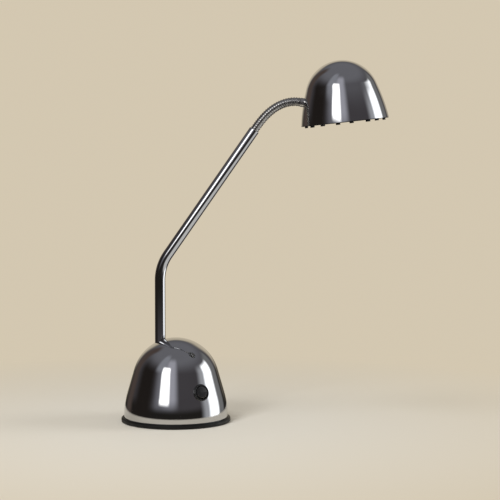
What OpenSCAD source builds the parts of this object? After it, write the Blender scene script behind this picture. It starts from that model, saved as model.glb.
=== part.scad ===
// Gooseneck desk lamp: a weighted dome with a low-voltage transformer, a swivelling bent tube,
// a flexible neck of ridged links and a bell shade with a halogen capsule.
// Millimetres. The origin is the middle of the resting face, +Z is up, +X is the way the arm leans.

/* [Base dome] */
// Outer radius of the dome at its foot
dome_foot_r = 69.5; // [69:0.1:71]
// Height of the dome's top above the table
dome_top_z = 112.5; // [110:0.5:118]
// How far the dome's foot lies inside the line of its side
dome_tuck = 4.52; // [4:0.02:5]
// Lean of the straight stretch of the dome's side, in degrees
dome_lean = 16.2; // [15.5:0.1:17]
// Radius of the long curve at the foot of the dome's side
dome_side_r = 117; // [105:1:130]
// Height at which the long curve starts
dome_band_z = 8; // [7:0.1:9]
// Sheet thickness of the dome
dome_wall = 1.2; // [0.8:0.1:1.5]

/* [Foot and ballast] */
// How far the rubber foot ring stands out past the dome's foot
ring_rim = 3.5; // [3:0.1:5]
// Height of the foot ring
ring_h = 6.3; // [5.5:0.1:7]
// Thickness of the ring under the dome's edge
ring_floor = 2.5; // [2.3:0.1:3]
// How far the ring reaches in under the dome
ring_lap = 5.3; // [4:0.1:5.6]
// Rounding of the ring's outer edge
ring_round = 1.4; // [0.6:0.1:1.6]
// Thickness of the steel base plate
plate_t = 2; // [1.5:0.1:2.5]
// How far the cast ballast stays inside the dome's foot
ballast_room = 12.5; // [12:0.5:13.5]
// Thickness of the cast ballast
ballast_h = 12; // [11:0.5:14]
// Radius of the ballast's screw circle
ballast_screw_pcd_r = 42; // [40:0.5:46]
// How far the screws that hold the dome stay inside its foot
dome_screw_inset = 8.5; // [8.3:0.1:9]

/* [Arm bearing] */
// Height of the bearing boss above the ballast
boss_h = 28; // [20:1:34]
// Radius of the bearing boss
boss_r = 12; // [11.5:0.1:12.5]
// Wall of the bearing sleeve
sleeve_wall = 1.45; // [1:0.05:1.8]
// Running clearance between the tube and its sleeve
run_gap = 0.05; // [0.02:0.01:0.1]
// Radius of the collar on the tube's foot
collar_r = 11; // [10:0.1:11.5]
// Height of the collar
collar_h = 5; // [4:0.1:5.5]
// Thickness of the thrust washer under the collar
washer_t = 1; // [0.8:0.1:1.2]
// Radius of the stop pin
stop_pin_r = 1.5; // [1:0.1:1.8]
// How far the arm swings to each side, in degrees
arm_swing = 90; // [60:5:120]

/* [Switch] */
// Height of the switch above the table
switch_z = 46; // [44:0.5:50]
// Direction of the switch round the dome, in degrees from the arm's lean
switch_az = -56; // [-64:1:-52]
// Radius of the switch bezel
bezel_r = 11.25; // [11:0.05:12]
// How far the bezel stands out from the dome
bezel_t = 1.8; // [1.4:0.1:2.4]
// Radius of the switch body behind the dome
switch_body_r = 9.9; // [9.8:0.05:10.2]
// Depth of the switch body behind the dome
switch_depth = 15; // [14:0.5:18]
// Radius of the rocker, measured from its pivot
rocker_r = 8.6; // [8:0.05:8.7]
// Slope of each half of the rocker's face, in degrees
rocker_slope = 9; // [6:0.5:10]
// Radius of the rocker's trunnions
trunnion_r = 1.25; // [1:0.05:1.5]

/* [Cord gland] */
// Height of the gland above the table
gland_z = 26; // [25:0.5:32]
// Direction of the gland round the dome, in degrees
gland_az = 100; // [85:1:112]
// Radius of the gland's bore, for the cord
gland_bore_r = 3.6; // [3:0.1:3.8]
// Radius of the gland's thread
gland_thread_r = 5.4; // [5.2:0.1:6]
// Radius of the gland's flange
gland_flange_r = 8; // [7.5:0.1:9]
// How far the flange stands out from the dome
gland_flange_t = 3; // [2:0.1:4]
// Length of the gland behind the dome's outer face
gland_depth = 12; // [10:0.5:13]

/* [Transformer] */
// One lamination unit: the core is six units wide and five high
core_unit = 8; // [7:0.1:8.1]
// Thickness of the lamination stack
core_stack = 20; // [16:0.5:21]
// Where the transformer stands along the arm's lean
core_x = 24; // [23.5:0.1:24.5]
// Where the transformer stands across the arm's lean
core_y = 14; // [13:0.1:15]
// Wall of the coil former
former_wall = 1; // [0.8:0.1:1.2]
// How far the coils stand out from the stack
coil_t = 7; // [5:0.1:7.2]

/* [Arm tube] */
// Where the tube's upright stretch stands
arm_x = -20.8; // [-21.4:0.1:-20.4]
// Lean of the tube's upper stretch from upright, in degrees
arm_lean = 34.8; // [30:0.2:38]
// Height of the corner where the two stretches would meet
arm_corner_z = 208.6; // [190:1:230]
// Length of the upper stretch from that corner
arm_slant = 220.7; // [200:1:240]
// Bend radius of the tube's middle line
arm_bend_r = 61; // [50:1:80]
// Outer radius of the tube
tube_r = 7; // [6.8:0.05:7.2]
// Inner radius of the tube
tube_bore_r = 6; // [5.8:0.05:6.2]
// Height of the hole where the lead leaves the tube
lead_hole_z = 60; // [56:1:68]
// Radius of the lead
lead_r = 2.6; // [2.3:0.1:2.7]

/* [Neck] */
// Length of the ridged neck
neck_len = 75; // [73:0.5:84]
// Direction of the neck's far end, in degrees above level
neck_end_heading = -9.5; // [-14:0.5:-4]
// How much faster the neck bends towards its far end
neck_growth = 1.7; // [1.4:0.05:1.8]
// Outer radius of the neck over its ridges
neck_r = 6; // [5.95:0.01:6.05]
// Radius of one ridge
ridge_r = 0.95; // [0.85:0.01:0.97]
// Radius of the neck in its valleys
valley_r = 5.3; // [5.2:0.01:5.4]
// Radius of the ball that seats each link in the next
ball_r = 4.3; // [4.2:0.01:4.35]
// Radius of the neck's bore
neck_bore_r = 3.2; // [3.1:0.01:3.25]

/* [Shade] */
// Outer radius of the shade at its rim
shade_rim_r = 58.5; // [58:0.1:60]
// Height of the shade
shade_h = 81.6; // [80:0.5:86]
// How far the shade's rim lies inside the line of its side
shade_tuck = 4; // [3.5:0.1:4.5]
// Lean of the shade's side below its cap, in degrees
shade_lean = 18.5; // [17.8:0.1:19.2]
// Radius of the long curve down to the rim
shade_side_r = 220; // [190:5:230]
// Sheet thickness of the shade
shade_wall = 1; // [0.8:0.05:1.2]
// Height above the rim at which the neck enters
entry_h = 31; // [29:0.5:32]
// Length of the plain ferrule between the ridges and the shade
ferrule_len = 4.6; // [3.5:0.1:7]

/* [Shade inside] */
// Focus depth setting: height of the reflector's vertex above the rim
reflector_vertex_h = 46; // [45:0.2:47]
// Width of the flange round the reflector's mouth
reflector_lip = 3.2; // [2.2:0.1:4.2]
// Radius of the hole in the reflector's crown
reflector_hole_r = 13; // [11:0.1:13.5]
// Thickness of the reflector
reflector_wall = 0.8; // [0.6:0.05:1]
// Thickness of the front glass
glass_t = 2.5; // [2:0.1:3]
// How far the front glass's edge lies inside the shade's rim
glass_room = 4.3; // [4.2:0.05:5]
// Number of lugs under the glass ring
lug_count = 8; // [4:1:12]
// Width of one lug
lug_w = 5.5; // [4:0.1:7]
// How far the lugs stand out under the ring
lug_h = 2.3; // [1.5:0.1:3]
// Direction of the first lug, in degrees
lug_az = 32; // [0:1:44]
// Radius of the halogen capsule
capsule_r = 5; // [4.5:0.1:5.5]
// Length of the capsule below its pinch
capsule_len = 17; // [14:0.5:19]
// Radius of the ceramic lamp socket
socket_r = 8; // [7.5:0.1:9]
// Height of the ceramic lamp socket
socket_h = 12; // [10:0.5:13]

/* [Hidden] */
$fn = 64;
smooth_fn = 360;
cut = 1;          // how far a cutting shape runs past what it cuts
seat_gap = 0.3;   // clearance between pieces that must not touch
slip_gap = 0.1;   // clearance between pieces of one body that slide together
skirt = 2;        // how far a round piece runs in before it is trimmed to a curved sheet
join_step = 0.02; // tiny step where a curve runs on into a straight stretch
join_lap = 0.5;   // how far those two run into each other

neck_links = 12;
LINKS = [for (i = [1 : neck_links]) str("neck_link_", i)];

// ---- Bell outlines: a long side curve, a straight lean and a round cap, all tangent ----
// A bell is [foot radius, lean, side curve radius, cap radius, height], measured from its foot.

function dir(a) = [cos(a), sin(a)];
// The cap's radius, so that the foot lies tuck inside the line of the side
function bell_cap_r(foot_r, lean, tuck, h) = (foot_r * cos(lean) + tuck - h * sin(lean)) / (1 - sin(lean));
function bell_cap(b) = [0, b[4] - b[3]];
function bell_gap(b) = dir(b[1]) * (bell_cap(b) - [b[0], 0]) + b[3];
function bell_side(b) = let (g = bell_gap(b))
    dir(b[1]) * (dir(b[1]) * bell_cap(b) + b[3] - b[2])
    + dir(b[1] + 90) * (dir(b[1] + 90) * [b[0], 0] + sqrt(2 * b[2] * g - g * g));
function bell_low(b, inset = 0) = bell_side(b) + (b[2] - inset) * dir(b[1]);
function bell_high(b, inset = 0) = bell_cap(b) + (b[3] - inset) * dir(b[1]);
// Radius at height z, on the outer face or a given depth inside it
function bell_r(b, z, inset = 0) =
    let (low = bell_low(b, inset), high = bell_high(b, inset), c = bell_side(b))
    z < low[1] ? c[0] + sqrt(pow(b[2] - inset, 2) - pow(z - c[1], 2))
    : z < high[1] ? low[0] + (high[0] - low[0]) * (z - low[1]) / (high[1] - low[1])
    : sqrt(pow(b[3] - inset, 2) - pow(z - bell_cap(b)[1], 2));
// How far the outer face's normal points above level at height z
function bell_tilt(b, z) =
    z < bell_low(b)[1] ? asin((z - bell_side(b)[1]) / b[2])
    : z < bell_high(b)[1] ? b[1]
    : asin((z - bell_cap(b)[1]) / b[3]);

module bell_outline(b, inset = 0) {
    low = bell_low(b, inset);
    high = bell_high(b, inset);
    step = [join_step, 0];
    intersection() {
        translate(bell_cap(b)) circle(b[3] - inset, $fn = smooth_fn);
        translate([0, high[1] - join_lap]) square(2 * b[3]);
    }
    polygon([[0, low[1]], low + step, high + step, [0, high[1]]]);
    intersection() {
        translate(bell_side(b)) circle(b[2] - inset, $fn = 3 * smooth_fn);
        square([b[0] + cut, low[1] + join_lap]);
    }
}

module bell_shell(b, wall) {
    rotate_extrude($fn = smooth_fn / 2) difference() {
        bell_outline(b);
        bell_outline(b, wall);
    }
}

// Children stand on the outer face at height z and direction az: +Z points out, -X up the face
module on_bell(b, z, az) {
    rotate([0, 0, az]) translate([bell_r(b, z), 0, z]) rotate([0, 90 - bell_tilt(b, z), 0]) children();
}

// ---- Derived places ----
dome_bell_h = dome_top_z - dome_band_z;
dome_cap_r = bell_cap_r(dome_foot_r, dome_lean, dome_tuck, dome_bell_h);
dome_bell = [dome_foot_r, dome_lean, dome_side_r, dome_cap_r, dome_bell_h];
dome_band_r = dome_foot_r - join_step;
dome_inner_r = dome_foot_r - dome_wall;
ring_r = dome_foot_r + ring_rim;
ring_inner_r = dome_foot_r - ring_lap;
ballast_r = dome_foot_r - ballast_room;
dome_screw_pcd_r = dome_foot_r - dome_screw_inset;
plate_r = dome_inner_r - seat_gap;
plate_top = ring_floor + plate_t;
ballast_top = plate_top + ballast_h;
boss_top = ballast_top + boss_h;

sleeve_r = tube_r + run_gap + sleeve_wall;
tube_foot_z = plate_top + washer_t;
pocket_r = collar_r + 1;
pocket_h = washer_t + collar_h + seat_gap;
stop_pin_reach = pocket_r + 3;
stop_pin_z = tube_foot_z + collar_h / 2;

core_w = 6 * core_unit;
core_h = 5 * core_unit;
core_leg = 2 * core_unit;
window_h = 3 * core_unit;

arm_bend_run = arm_bend_r * tan(arm_lean / 2);
arm_end = [arm_x, arm_corner_z] + arm_slant * dir(90 - arm_lean);

link_len = neck_len / neck_links;
link_slot = 0.78;                   // half of the slot between two links
ridge_at = 1.75;                    // from a hinge to the nearest ridge's middle
ridge_ring_r = neck_r - ridge_r;    // middle of a ridge
socket_ball_r = ball_r + seat_gap;
ball_reach = 1.2;                   // how far a ball goes into the next link

shade_cap_r = bell_cap_r(shade_rim_r, shade_lean, shade_tuck, shade_h);
shade_bell = [shade_rim_r, shade_lean, shade_side_r, shade_cap_r, shade_h];

// ---- Neck line: it turns faster and faster towards the shade, and the links are its chords ----
function heading(i) = 90 - arm_lean
    - (90 - arm_lean - neck_end_heading) * pow(i / neck_links, neck_growth);
function neck_at(i) = i == 0 ? arm_end
    : neck_at(i - 1) + link_len * dir((heading(i - 1) + heading(i)) / 2);

// Children stand at the start of link i, with +Z along it
module on_link(i) {
    p = neck_at(i - 1);
    translate([p[0], 0, p[1]]) rotate([0, 90 - (heading(i - 1) + heading(i)) / 2, 0]) children();
}

// ---- Shade frame: origin in the middle of the rim, +Z to the crown ----
module in_shade() {
    wall_at = neck_at(neck_links) + ferrule_len * dir(neck_end_heading);
    translate([wall_at[0], 0, wall_at[1]])
        rotate([0, -neck_end_heading - bell_tilt(shade_bell, entry_h), 0])
            translate([bell_r(shade_bell, entry_h), 0, -entry_h]) children();
}

// Children stand where the neck enters the shade, with +Z pointing back along the neck
module at_entry() {
    in_shade() on_bell(shade_bell, entry_h, 180) children();
}

module on_dome(z, az) {
    translate([0, 0, dome_band_z]) on_bell(dome_bell, z - dome_band_z, az) children();
}

module at_switch() {
    on_dome(switch_z, switch_az) children();
}

module at_gland() {
    on_dome(gland_z, gland_az) children();
}

module dome_solid() {
    translate([0, 0, dome_band_z]) rotate_extrude($fn = smooth_fn / 2) bell_outline(dome_bell);
    translate([0, 0, ring_floor]) cylinder(r = dome_band_r, h = dome_band_z - ring_floor + join_lap);
}

module shade_solid(inset = 0) {
    rotate_extrude($fn = smooth_fn) bell_outline(shade_bell, inset);
}

// ---- Shared small shapes ----
module ring(r_out, r_in, h) {
    difference() {
        cylinder(r = r_out, h = h);
        translate([0, 0, -cut]) cylinder(r = r_in, h = h + 2 * cut);
    }
}

screw_head_h = 1.6;
screw_head_ratio = 1.8;   // head radius over shank radius

// A screw with its head's underside at z = 0, its shank going up and a hexagon socket below
module screw(shank_r, shank_len) {
    head_r = shank_r * screw_head_ratio;
    cylinder(r = shank_r, h = shank_len);
    difference() {
        translate([0, 0, -screw_head_h]) cylinder(r = head_r, h = screw_head_h);
        translate([0, 0, -screw_head_h - cut]) cylinder(r = head_r / 2, h = screw_head_h / 2 + cut, $fn = 6);
    }
}

module around(count, r, first = 0) {
    for (i = [0 : count - 1]) rotate(first + i * 360 / count) translate([r, 0, 0]) children();
}

module rounded_rect(w, d, r) {
    square([w - 2 * r, d], center = true);
    square([w, d - 2 * r], center = true);
    for (x = [-1, 1], y = [-1, 1]) translate([x * (w / 2 - r), y * (d / 2 - r)]) circle(r);
}

// The tube's line as a solid of radius r from height z_foot up; its straight stretches are step thinner
module arm_line(r, z_foot, step) {
    translate([arm_x, 0, z_foot])
        cylinder(r = r - step, h = arm_corner_z - arm_bend_run - z_foot + join_lap);
    translate([arm_x + arm_bend_r, 0, arm_corner_z - arm_bend_run]) rotate([90, 0, 0])
        rotate_extrude(angle = arm_lean, start = 180 - arm_lean, $fn = smooth_fn / 2)
            translate([arm_bend_r, 0]) circle(r);
    translate([arm_x, 0, arm_corner_z]) rotate([0, arm_lean, 0]) translate([0, 0, arm_bend_run - join_lap])
        cylinder(r = r - step, h = arm_slant - arm_bend_run + join_lap);
}

// ---- Base ----
dome_hole_r = tube_r + 0.4;
sheet_cut = 4 * cut;   // length of a hole through a curved sheet

module base_dome() color([0.72, 0.73, 0.75]) {
    difference() {
        union() {
            translate([0, 0, dome_band_z]) bell_shell(dome_bell, dome_wall);
            translate([0, 0, ring_floor])
                ring(dome_band_r, dome_inner_r, dome_band_z - ring_floor + join_lap);
        }
        translate([arm_x, 0, dome_top_z / 2]) cylinder(r = dome_hole_r, h = dome_top_z);
        at_switch() cylinder(r = switch_body_r + slip_gap, h = sheet_cut, center = true);
        at_gland() cylinder(r = gland_thread_r + slip_gap, h = sheet_cut, center = true);
    }
}

module foot_ring() color([0.06, 0.06, 0.06]) {
    rotate_extrude($fn = smooth_fn / 2) difference() {
        union() {
            translate([ring_inner_r, 0]) square([ring_r - ring_round - ring_inner_r, ring_h]);
            translate([ring_inner_r, 0]) square([ring_r - ring_inner_r, ring_h - ring_round]);
            translate([ring_r - ring_round, ring_h - ring_round]) circle(ring_round);
        }
        translate([0, ring_floor]) square([dome_foot_r, ring_h]);
    }
}

ballast_screw_r = 2.5;
dome_screw_r = 1.5;
ballast_screw_az = 30;

module base_plate() color([0.55, 0.56, 0.58]) {
    translate([0, 0, ring_floor]) difference() {
        cylinder(r = plate_r, h = plate_t);
        translate([0, 0, -cut]) {
            around(3, ballast_screw_pcd_r, ballast_screw_az)
                cylinder(r = ballast_screw_r + slip_gap, h = plate_t + 2 * cut);
            around(3, dome_screw_pcd_r) cylinder(r = dome_screw_r + slip_gap, h = plate_t + 2 * cut);
        }
    }
}

ballast_thread = 8;

module ballast() color([0.25, 0.25, 0.26]) {
    slot_half = arm_swing + asin((stop_pin_r + seat_gap) / pocket_r);
    difference() {
        union() {
            translate([0, 0, plate_top]) cylinder(r = ballast_r, h = ballast_h);
            translate([arm_x, 0, plate_top]) cylinder(r = boss_r, h = ballast_h + boss_h);
        }
        translate([arm_x, 0, 0]) cylinder(r = sleeve_r, h = boss_top + cut);
        translate([arm_x, 0, plate_top - cut]) cylinder(r = pocket_r, h = pocket_h + cut);
        translate([arm_x, 0, plate_top - cut]) rotate(180 - slot_half)
            rotate_extrude(angle = 2 * slot_half) translate([pocket_r - cut, 0])
                square([stop_pin_reach + 2 * seat_gap - pocket_r + cut, pocket_h + cut]);
        around(3, ballast_screw_pcd_r, ballast_screw_az)
            translate([0, 0, plate_top - cut]) cylinder(r = ballast_screw_r, h = ballast_thread + cut);
        at_strap_screws() translate([0, 0, -strap_thread])
            cylinder(r = strap_screw_r, h = strap_thread + cut);
        at_block() translate([0, 0, -block_thread]) cylinder(r = block_screw_r, h = block_thread + cut);
    }
}

module ballast_screws() color([0.6, 0.6, 0.62]) {
    around(3, ballast_screw_pcd_r, ballast_screw_az) translate([0, 0, ring_floor])
        screw(ballast_screw_r, plate_t + ballast_thread);
}

bracket_w = 12;
bracket_t = 1.5;
bracket_h = 9;
screw_tip = 1;   // how far a dome screw comes out of its bracket

module dome_brackets() color([0.6, 0.6, 0.62]) {
    bracket_r = bell_r(dome_bell, plate_top + bracket_h - dome_band_z, dome_wall) - slip_gap;
    around(3, 0) difference() {
        intersection() {
            union() {
                translate([0, 0, plate_top]) ring(bracket_r, bracket_r - bracket_t, bracket_h);
                translate([0, 0, plate_top]) ring(bracket_r, ballast_r + seat_gap, bracket_t);
            }
            translate([0, -bracket_w / 2, 0]) cube([ring_r, bracket_w, plate_top + bracket_h + cut]);
        }
        translate([dome_screw_pcd_r, 0, plate_top - cut]) cylinder(r = dome_screw_r, h = bracket_t + 2 * cut);
    }
}

module dome_screws() color([0.6, 0.6, 0.62]) {
    around(3, dome_screw_pcd_r) translate([0, 0, ring_floor])
        screw(dome_screw_r, plate_t + bracket_t + screw_tip);
}

// ---- Transformer ----
module at_core() {
    translate([core_x, core_y, ballast_top]) children();
}

module transformer_core() color([0.35, 0.33, 0.32]) {
    at_core() difference() {
        translate([-core_w / 2, -core_stack / 2, 0]) cube([core_w, core_stack, core_h]);
        for (side = [-1, 1])
            translate([side * 1.5 * core_unit - core_unit / 2, -core_stack / 2 - cut, core_unit])
                cube([core_unit, core_stack + 2 * cut, window_h]);
    }
}

former_gap = 0.2;
former_h = window_h - 2 * former_gap;
former_out_w = core_leg + 2 * core_unit - 2 * former_gap;
former_out_d = core_stack + 2 * coil_t + 2 * former_wall;
former_in_w = core_leg + 2 * former_gap;
former_in_d = core_stack + 2 * former_gap;
coil_h = (former_h - 3 * former_wall) / 2;
former_corner_r = 1.5;
coil_corner_r = 3;
coil_inset = 0.4;

module coil_former() color([0.9, 0.88, 0.8]) {
    at_core() translate([0, 0, core_unit + former_gap]) difference() {
        union() {
            for (i = [0 : 2]) translate([0, 0, i * (coil_h + former_wall)])
                linear_extrude(former_wall) rounded_rect(former_out_w, former_out_d, former_corner_r);
            linear_extrude(former_h)
                rounded_rect(former_in_w + 2 * former_wall, former_in_d + 2 * former_wall, former_wall / 2);
        }
        translate([0, 0, -cut]) linear_extrude(former_h + 2 * cut)
            square([former_in_w, former_in_d], center = true);
    }
}

module coil(level) {
    at_core() translate([0, 0, core_unit + former_gap + former_wall + level * (coil_h + former_wall)])
        linear_extrude(coil_h) difference() {
            rounded_rect(former_out_w - 2 * coil_inset, former_out_d - 2 * coil_inset, coil_corner_r);
            square([former_in_w + 2 * former_wall, former_in_d + 2 * former_wall], center = true);
        }
}

module primary_coil() color([0.72, 0.38, 0.2]) coil(0);
module secondary_coil() color([0.78, 0.45, 0.25]) coil(1);

strap_t = 1;
strap_w = 12;
strap_foot = 7;
strap_screw_r = 1.5;
strap_thread = 6;
strap_screw_x = core_w / 2 + slip_gap + strap_t + strap_foot / 2;

module at_strap_screws() {
    at_core() for (side = [-1, 1]) translate([side * strap_screw_x, 0, 0]) children();
}

module transformer_strap() color([0.62, 0.63, 0.65]) {
    out_w = core_w + 2 * slip_gap + 2 * strap_t;
    foot_w = out_w + 2 * strap_foot;
    difference() {
        at_core() {
            difference() {
                translate([-out_w / 2, -strap_w / 2, 0]) cube([out_w, strap_w, core_h + slip_gap + strap_t]);
                translate([-out_w / 2 + strap_t, -strap_w, -cut])
                    cube([out_w - 2 * strap_t, 2 * strap_w, core_h + slip_gap + cut]);
            }
            difference() {
                translate([-foot_w / 2, -strap_w / 2, 0]) cube([foot_w, strap_w, strap_t]);
                translate([-out_w / 2 + strap_t, -strap_w, -cut])
                    cube([out_w - 2 * strap_t, 2 * strap_w, 3 * cut]);
            }
        }
        at_strap_screws() translate([0, 0, -cut]) cylinder(r = strap_screw_r, h = strap_t + 2 * cut);
    }
}

module strap_screws() color([0.75, 0.75, 0.77]) {
    at_strap_screws() translate([0, 0, strap_t]) mirror([0, 0, 1])
        screw(strap_screw_r, strap_t + strap_thread - seat_gap);
}

// ---- Terminal block ----
block_at = [-28, 31];
pole_pitch = 8;
poles = 3;
block_d = 16;
block_h = 10;
block_foot_h = 3;
clamp_r = 2.4;            // brass tube in each pole
clamp_bore_r = 1.5;
clamp_cover = 1.2;        // plastic round the brass tube
tower_r = 2.6;            // screw tower
tower_bore_r = 1.7;
clamp_screw_r = 1.3;
clamp_screw_h = 3;
clamp_slot = 0.5;
block_screw_r = 1.2;
block_thread = 5;

module at_block() {
    translate([block_at[0], block_at[1], ballast_top]) children();
}

module at_poles() {
    at_block() for (i = [0 : poles - 1])
        translate([(i - (poles - 1) / 2) * pole_pitch, 0, block_h / 2]) children();
}

module at_towers() {
    at_poles() for (side = [-1, 1]) translate([0, side * block_d / 4, 0]) children();
}

module along_pole(r, len) {
    at_poles() rotate([90, 0, 0]) cylinder(r = r, h = len, center = true);
}

module terminal_block() color([0.92, 0.91, 0.86]) {
    difference() {
        union() {
            at_block() translate([-poles * pole_pitch / 2, -block_d / 2, 0])
                cube([poles * pole_pitch, block_d, block_foot_h]);
            at_poles() translate([-clamp_r, -block_d / 2, -block_h / 2])
                cube([2 * clamp_r, block_d, block_h / 2]);
            along_pole(clamp_r + clamp_cover, block_d - 2);
            at_towers() cylinder(r = tower_r, h = block_h / 2);
        }
        along_pole(clamp_r, block_d + 2 * cut);
        at_towers() cylinder(r = tower_bore_r, h = block_h);
        at_block() translate([0, 0, -cut]) cylinder(r = block_screw_r, h = block_h / 2 + 2 * cut);
    }
}

module terminal_tubes() color([0.8, 0.65, 0.3]) {
    difference() {
        along_pole(clamp_r, block_d - 3);
        along_pole(clamp_bore_r, block_d);
        at_towers() cylinder(r = clamp_screw_r, h = block_h);
    }
}

module terminal_screws() color([0.75, 0.75, 0.77]) {
    at_towers() translate([0, 0, clamp_bore_r / 2]) difference() {
        cylinder(r = clamp_screw_r, h = clamp_screw_h);
        translate([-2 * clamp_screw_r, -clamp_slot / 2, clamp_screw_h - clamp_slot])
            cube([4 * clamp_screw_r, clamp_slot, 1]);
    }
}

// ---- Switch: the pivot lies across the dome, level with the table ----
pivot_depth = 1.2;          // how far the pivot lies behind the dome's face
rocker_mid_h = 3.2;         // from the pivot to the middle of the rocker's face
rocker_low = 2.5;           // how far the rocker goes below its pivot
cavity_r = rocker_r + 0.4;
cavity_depth = 5.8;         // below the pivot
bezel_round = 0.6;
trunnion_reach = switch_body_r - 0.2;
clip_w = 5;                 // spring clips that hold the switch behind the sheet
clip_t = 1.2;
clip_far = switch_body_r + 0.4;
spade_w = 6.3;
spade_t = 0.8;
spade_len = 8;
spade_at = 4;

module switch_body() color([0.05, 0.05, 0.05]) {
    difference() {
        union() {
            difference() {
                at_switch() translate([0, 0, -skirt]) rotate_extrude() {
                    h = skirt + bezel_t;
                    square([bezel_r, h - bezel_round]);
                    square([bezel_r - bezel_round, h]);
                    translate([bezel_r - bezel_round, h - bezel_round]) circle(bezel_round);
                }
                dome_solid();
            }
            at_switch() {
                translate([0, 0, -switch_depth]) cylinder(r = switch_body_r, h = switch_depth + bezel_t / 2);
                for (side = [-1, 1])
                    translate([-clip_w / 2, side * (clip_far - clip_t / 2) - clip_t / 2, -switch_depth / 2])
                        cube([clip_w, clip_t, clip_w]);
            }
        }
        at_switch() translate([0, 0, -pivot_depth]) {
            translate([0, 0, -cavity_depth]) cylinder(r = cavity_r, h = switch_depth);
            rotate([90, 0, 0])
                cylinder(r = trunnion_r + run_gap, h = 2 * trunnion_reach + 2 * slip_gap, center = true);
        }
    }
}

module switch_terminals() color([0.8, 0.65, 0.3]) {
    at_switch() for (side = [-1, 1])
        translate([side * spade_at - spade_t / 2, -spade_w / 2, -switch_depth - spade_len])
            cube([spade_t, spade_w, spade_len]);
}

module switch_rocker() color([0.08, 0.08, 0.08]) {
    at_switch() translate([0, 0, -pivot_depth]) rotate([0, -rocker_slope, 0]) {
        side_h = rocker_mid_h + rocker_r * tan(rocker_slope);
        intersection() {
            sphere(rocker_r, $fn = 96);
            rotate([90, 0, 0]) linear_extrude(2 * rocker_r, center = true) polygon([
                [-rocker_r, -rocker_low], [rocker_r, -rocker_low],
                [rocker_r, side_h], [0, rocker_mid_h], [-rocker_r, side_h]]);
        }
        rotate([90, 0, 0]) cylinder(r = trunnion_r, h = 2 * trunnion_reach, center = true);
    }
}

// ---- Cord gland ----
gland_chamfer = 1;
gland_nut_t = 3.5;
gland_nut_rim = 2.4;    // from the thread to the nut's corners
gland_nut_gap = 0.9;    // behind the sheet, so that the flat nut clears the round dome

module cord_gland() color([0.07, 0.07, 0.07]) {
    difference() {
        at_gland() union() {
            translate([0, 0, -skirt])
                cylinder(r = gland_flange_r, h = skirt + gland_flange_t - gland_chamfer);
            translate([0, 0, gland_flange_t - gland_chamfer])
                cylinder(r1 = gland_flange_r, r2 = gland_flange_r - gland_chamfer, h = gland_chamfer);
        }
        dome_solid();
        at_gland() translate([0, 0, -skirt - cut])
            cylinder(r = gland_bore_r, h = skirt + gland_flange_t + 2 * cut);
    }
    at_gland() translate([0, 0, -gland_depth])
        ring(gland_thread_r, gland_bore_r, gland_depth + gland_flange_t / 2);
}

module gland_nut() color([0.1, 0.1, 0.1]) {
    at_gland() translate([0, 0, -dome_wall - gland_nut_gap - gland_nut_t]) difference() {
        cylinder(r = gland_thread_r + gland_nut_rim, h = gland_nut_t, $fn = 6);
        translate([0, 0, -cut]) cylinder(r = gland_thread_r, h = gland_nut_t + 2 * cut);
    }
}

// ---- Arm bearing ----
sleeve_flange_rim = 1.5;
sleeve_flange_t = 1;

module bearing_sleeve() color([0.93, 0.92, 0.88]) {
    translate([arm_x, 0, plate_top + pocket_h])
        ring(sleeve_r, tube_r + run_gap, boss_top - plate_top - pocket_h);
    translate([arm_x, 0, boss_top]) ring(sleeve_r + sleeve_flange_rim, tube_r + run_gap, sleeve_flange_t);
}

module thrust_washer() color([0.93, 0.92, 0.88]) {
    translate([arm_x, 0, plate_top]) ring(collar_r, tube_bore_r, washer_t);
}

// ---- Arm ----
lead_hole_gap = 0.4;
lead_tail = 4;        // how far the lead comes out of the tube
pin_seat = 0.2;       // the stop pin stops this short of the tube

module arm_tube() color([0.72, 0.73, 0.75]) {
    difference() {
        arm_line(tube_r, tube_foot_z, join_step);
        arm_line(tube_bore_r, tube_foot_z, -join_step);
        translate([arm_x, 0, lead_hole_z]) rotate([0, 90, 0])
            cylinder(r = lead_r + lead_hole_gap, h = 2 * tube_r);
    }
}

module foot_collar() color([0.6, 0.6, 0.62]) {
    difference() {
        translate([arm_x, 0, tube_foot_z]) ring(collar_r, tube_r, collar_h);
        translate([arm_x, 0, stop_pin_z]) rotate([0, -90, 0]) cylinder(r = stop_pin_r, h = 2 * collar_r);
    }
}

module stop_pin() color([0.75, 0.75, 0.77]) {
    translate([arm_x - tube_r - pin_seat, 0, stop_pin_z]) rotate([0, -90, 0])
        cylinder(r = stop_pin_r, h = stop_pin_reach - tube_r - pin_seat);
}

module arm_lead() color([0.12, 0.12, 0.12]) {
    arm_line(lead_r, lead_hole_z, join_step);
    translate([arm_x, 0, lead_hole_z]) {
        sphere(lead_r);
        rotate([0, 90, 0]) cylinder(r = lead_r - join_step, h = tube_r + lead_tail);
    }
}

// ---- Neck ----
neck_plug_len = 14;
mouth_low = 0.1;      // the bore widens by this much inside a ball, then
mouth_high = 0.5;     // by this much at its mouth

module neck_plug() color([0.6, 0.6, 0.62]) {
    translate([arm_end[0], 0, arm_end[1]]) rotate([0, arm_lean, 0])
        translate([0, 0, -neck_plug_len]) ring(tube_bore_r, neck_bore_r, neck_plug_len);
}

module link_profile(first) {
    foot = first ? seat_gap / 2 : link_slot;
    difference() {
        union() {
            translate([0, foot]) square([valley_r, link_len - link_slot - foot]);
            for (z = [ridge_at, link_len - ridge_at]) translate([ridge_ring_r, z]) circle(ridge_r, $fn = 48);
            intersection() {
                translate([0, link_len]) circle(ball_r);
                translate([0, link_len - ball_reach]) square([ball_r, 2 * ball_reach]);
            }
        }
        if (!first) circle(socket_ball_r);
        translate([0, -cut]) square([neck_bore_r, 2 * link_len]);
        polygon([[0, link_len], [neck_bore_r + mouth_low, link_len],
            [neck_bore_r + mouth_high, link_len + ball_reach + cut], [0, link_len + ball_reach + cut]]);
    }
}

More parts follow.
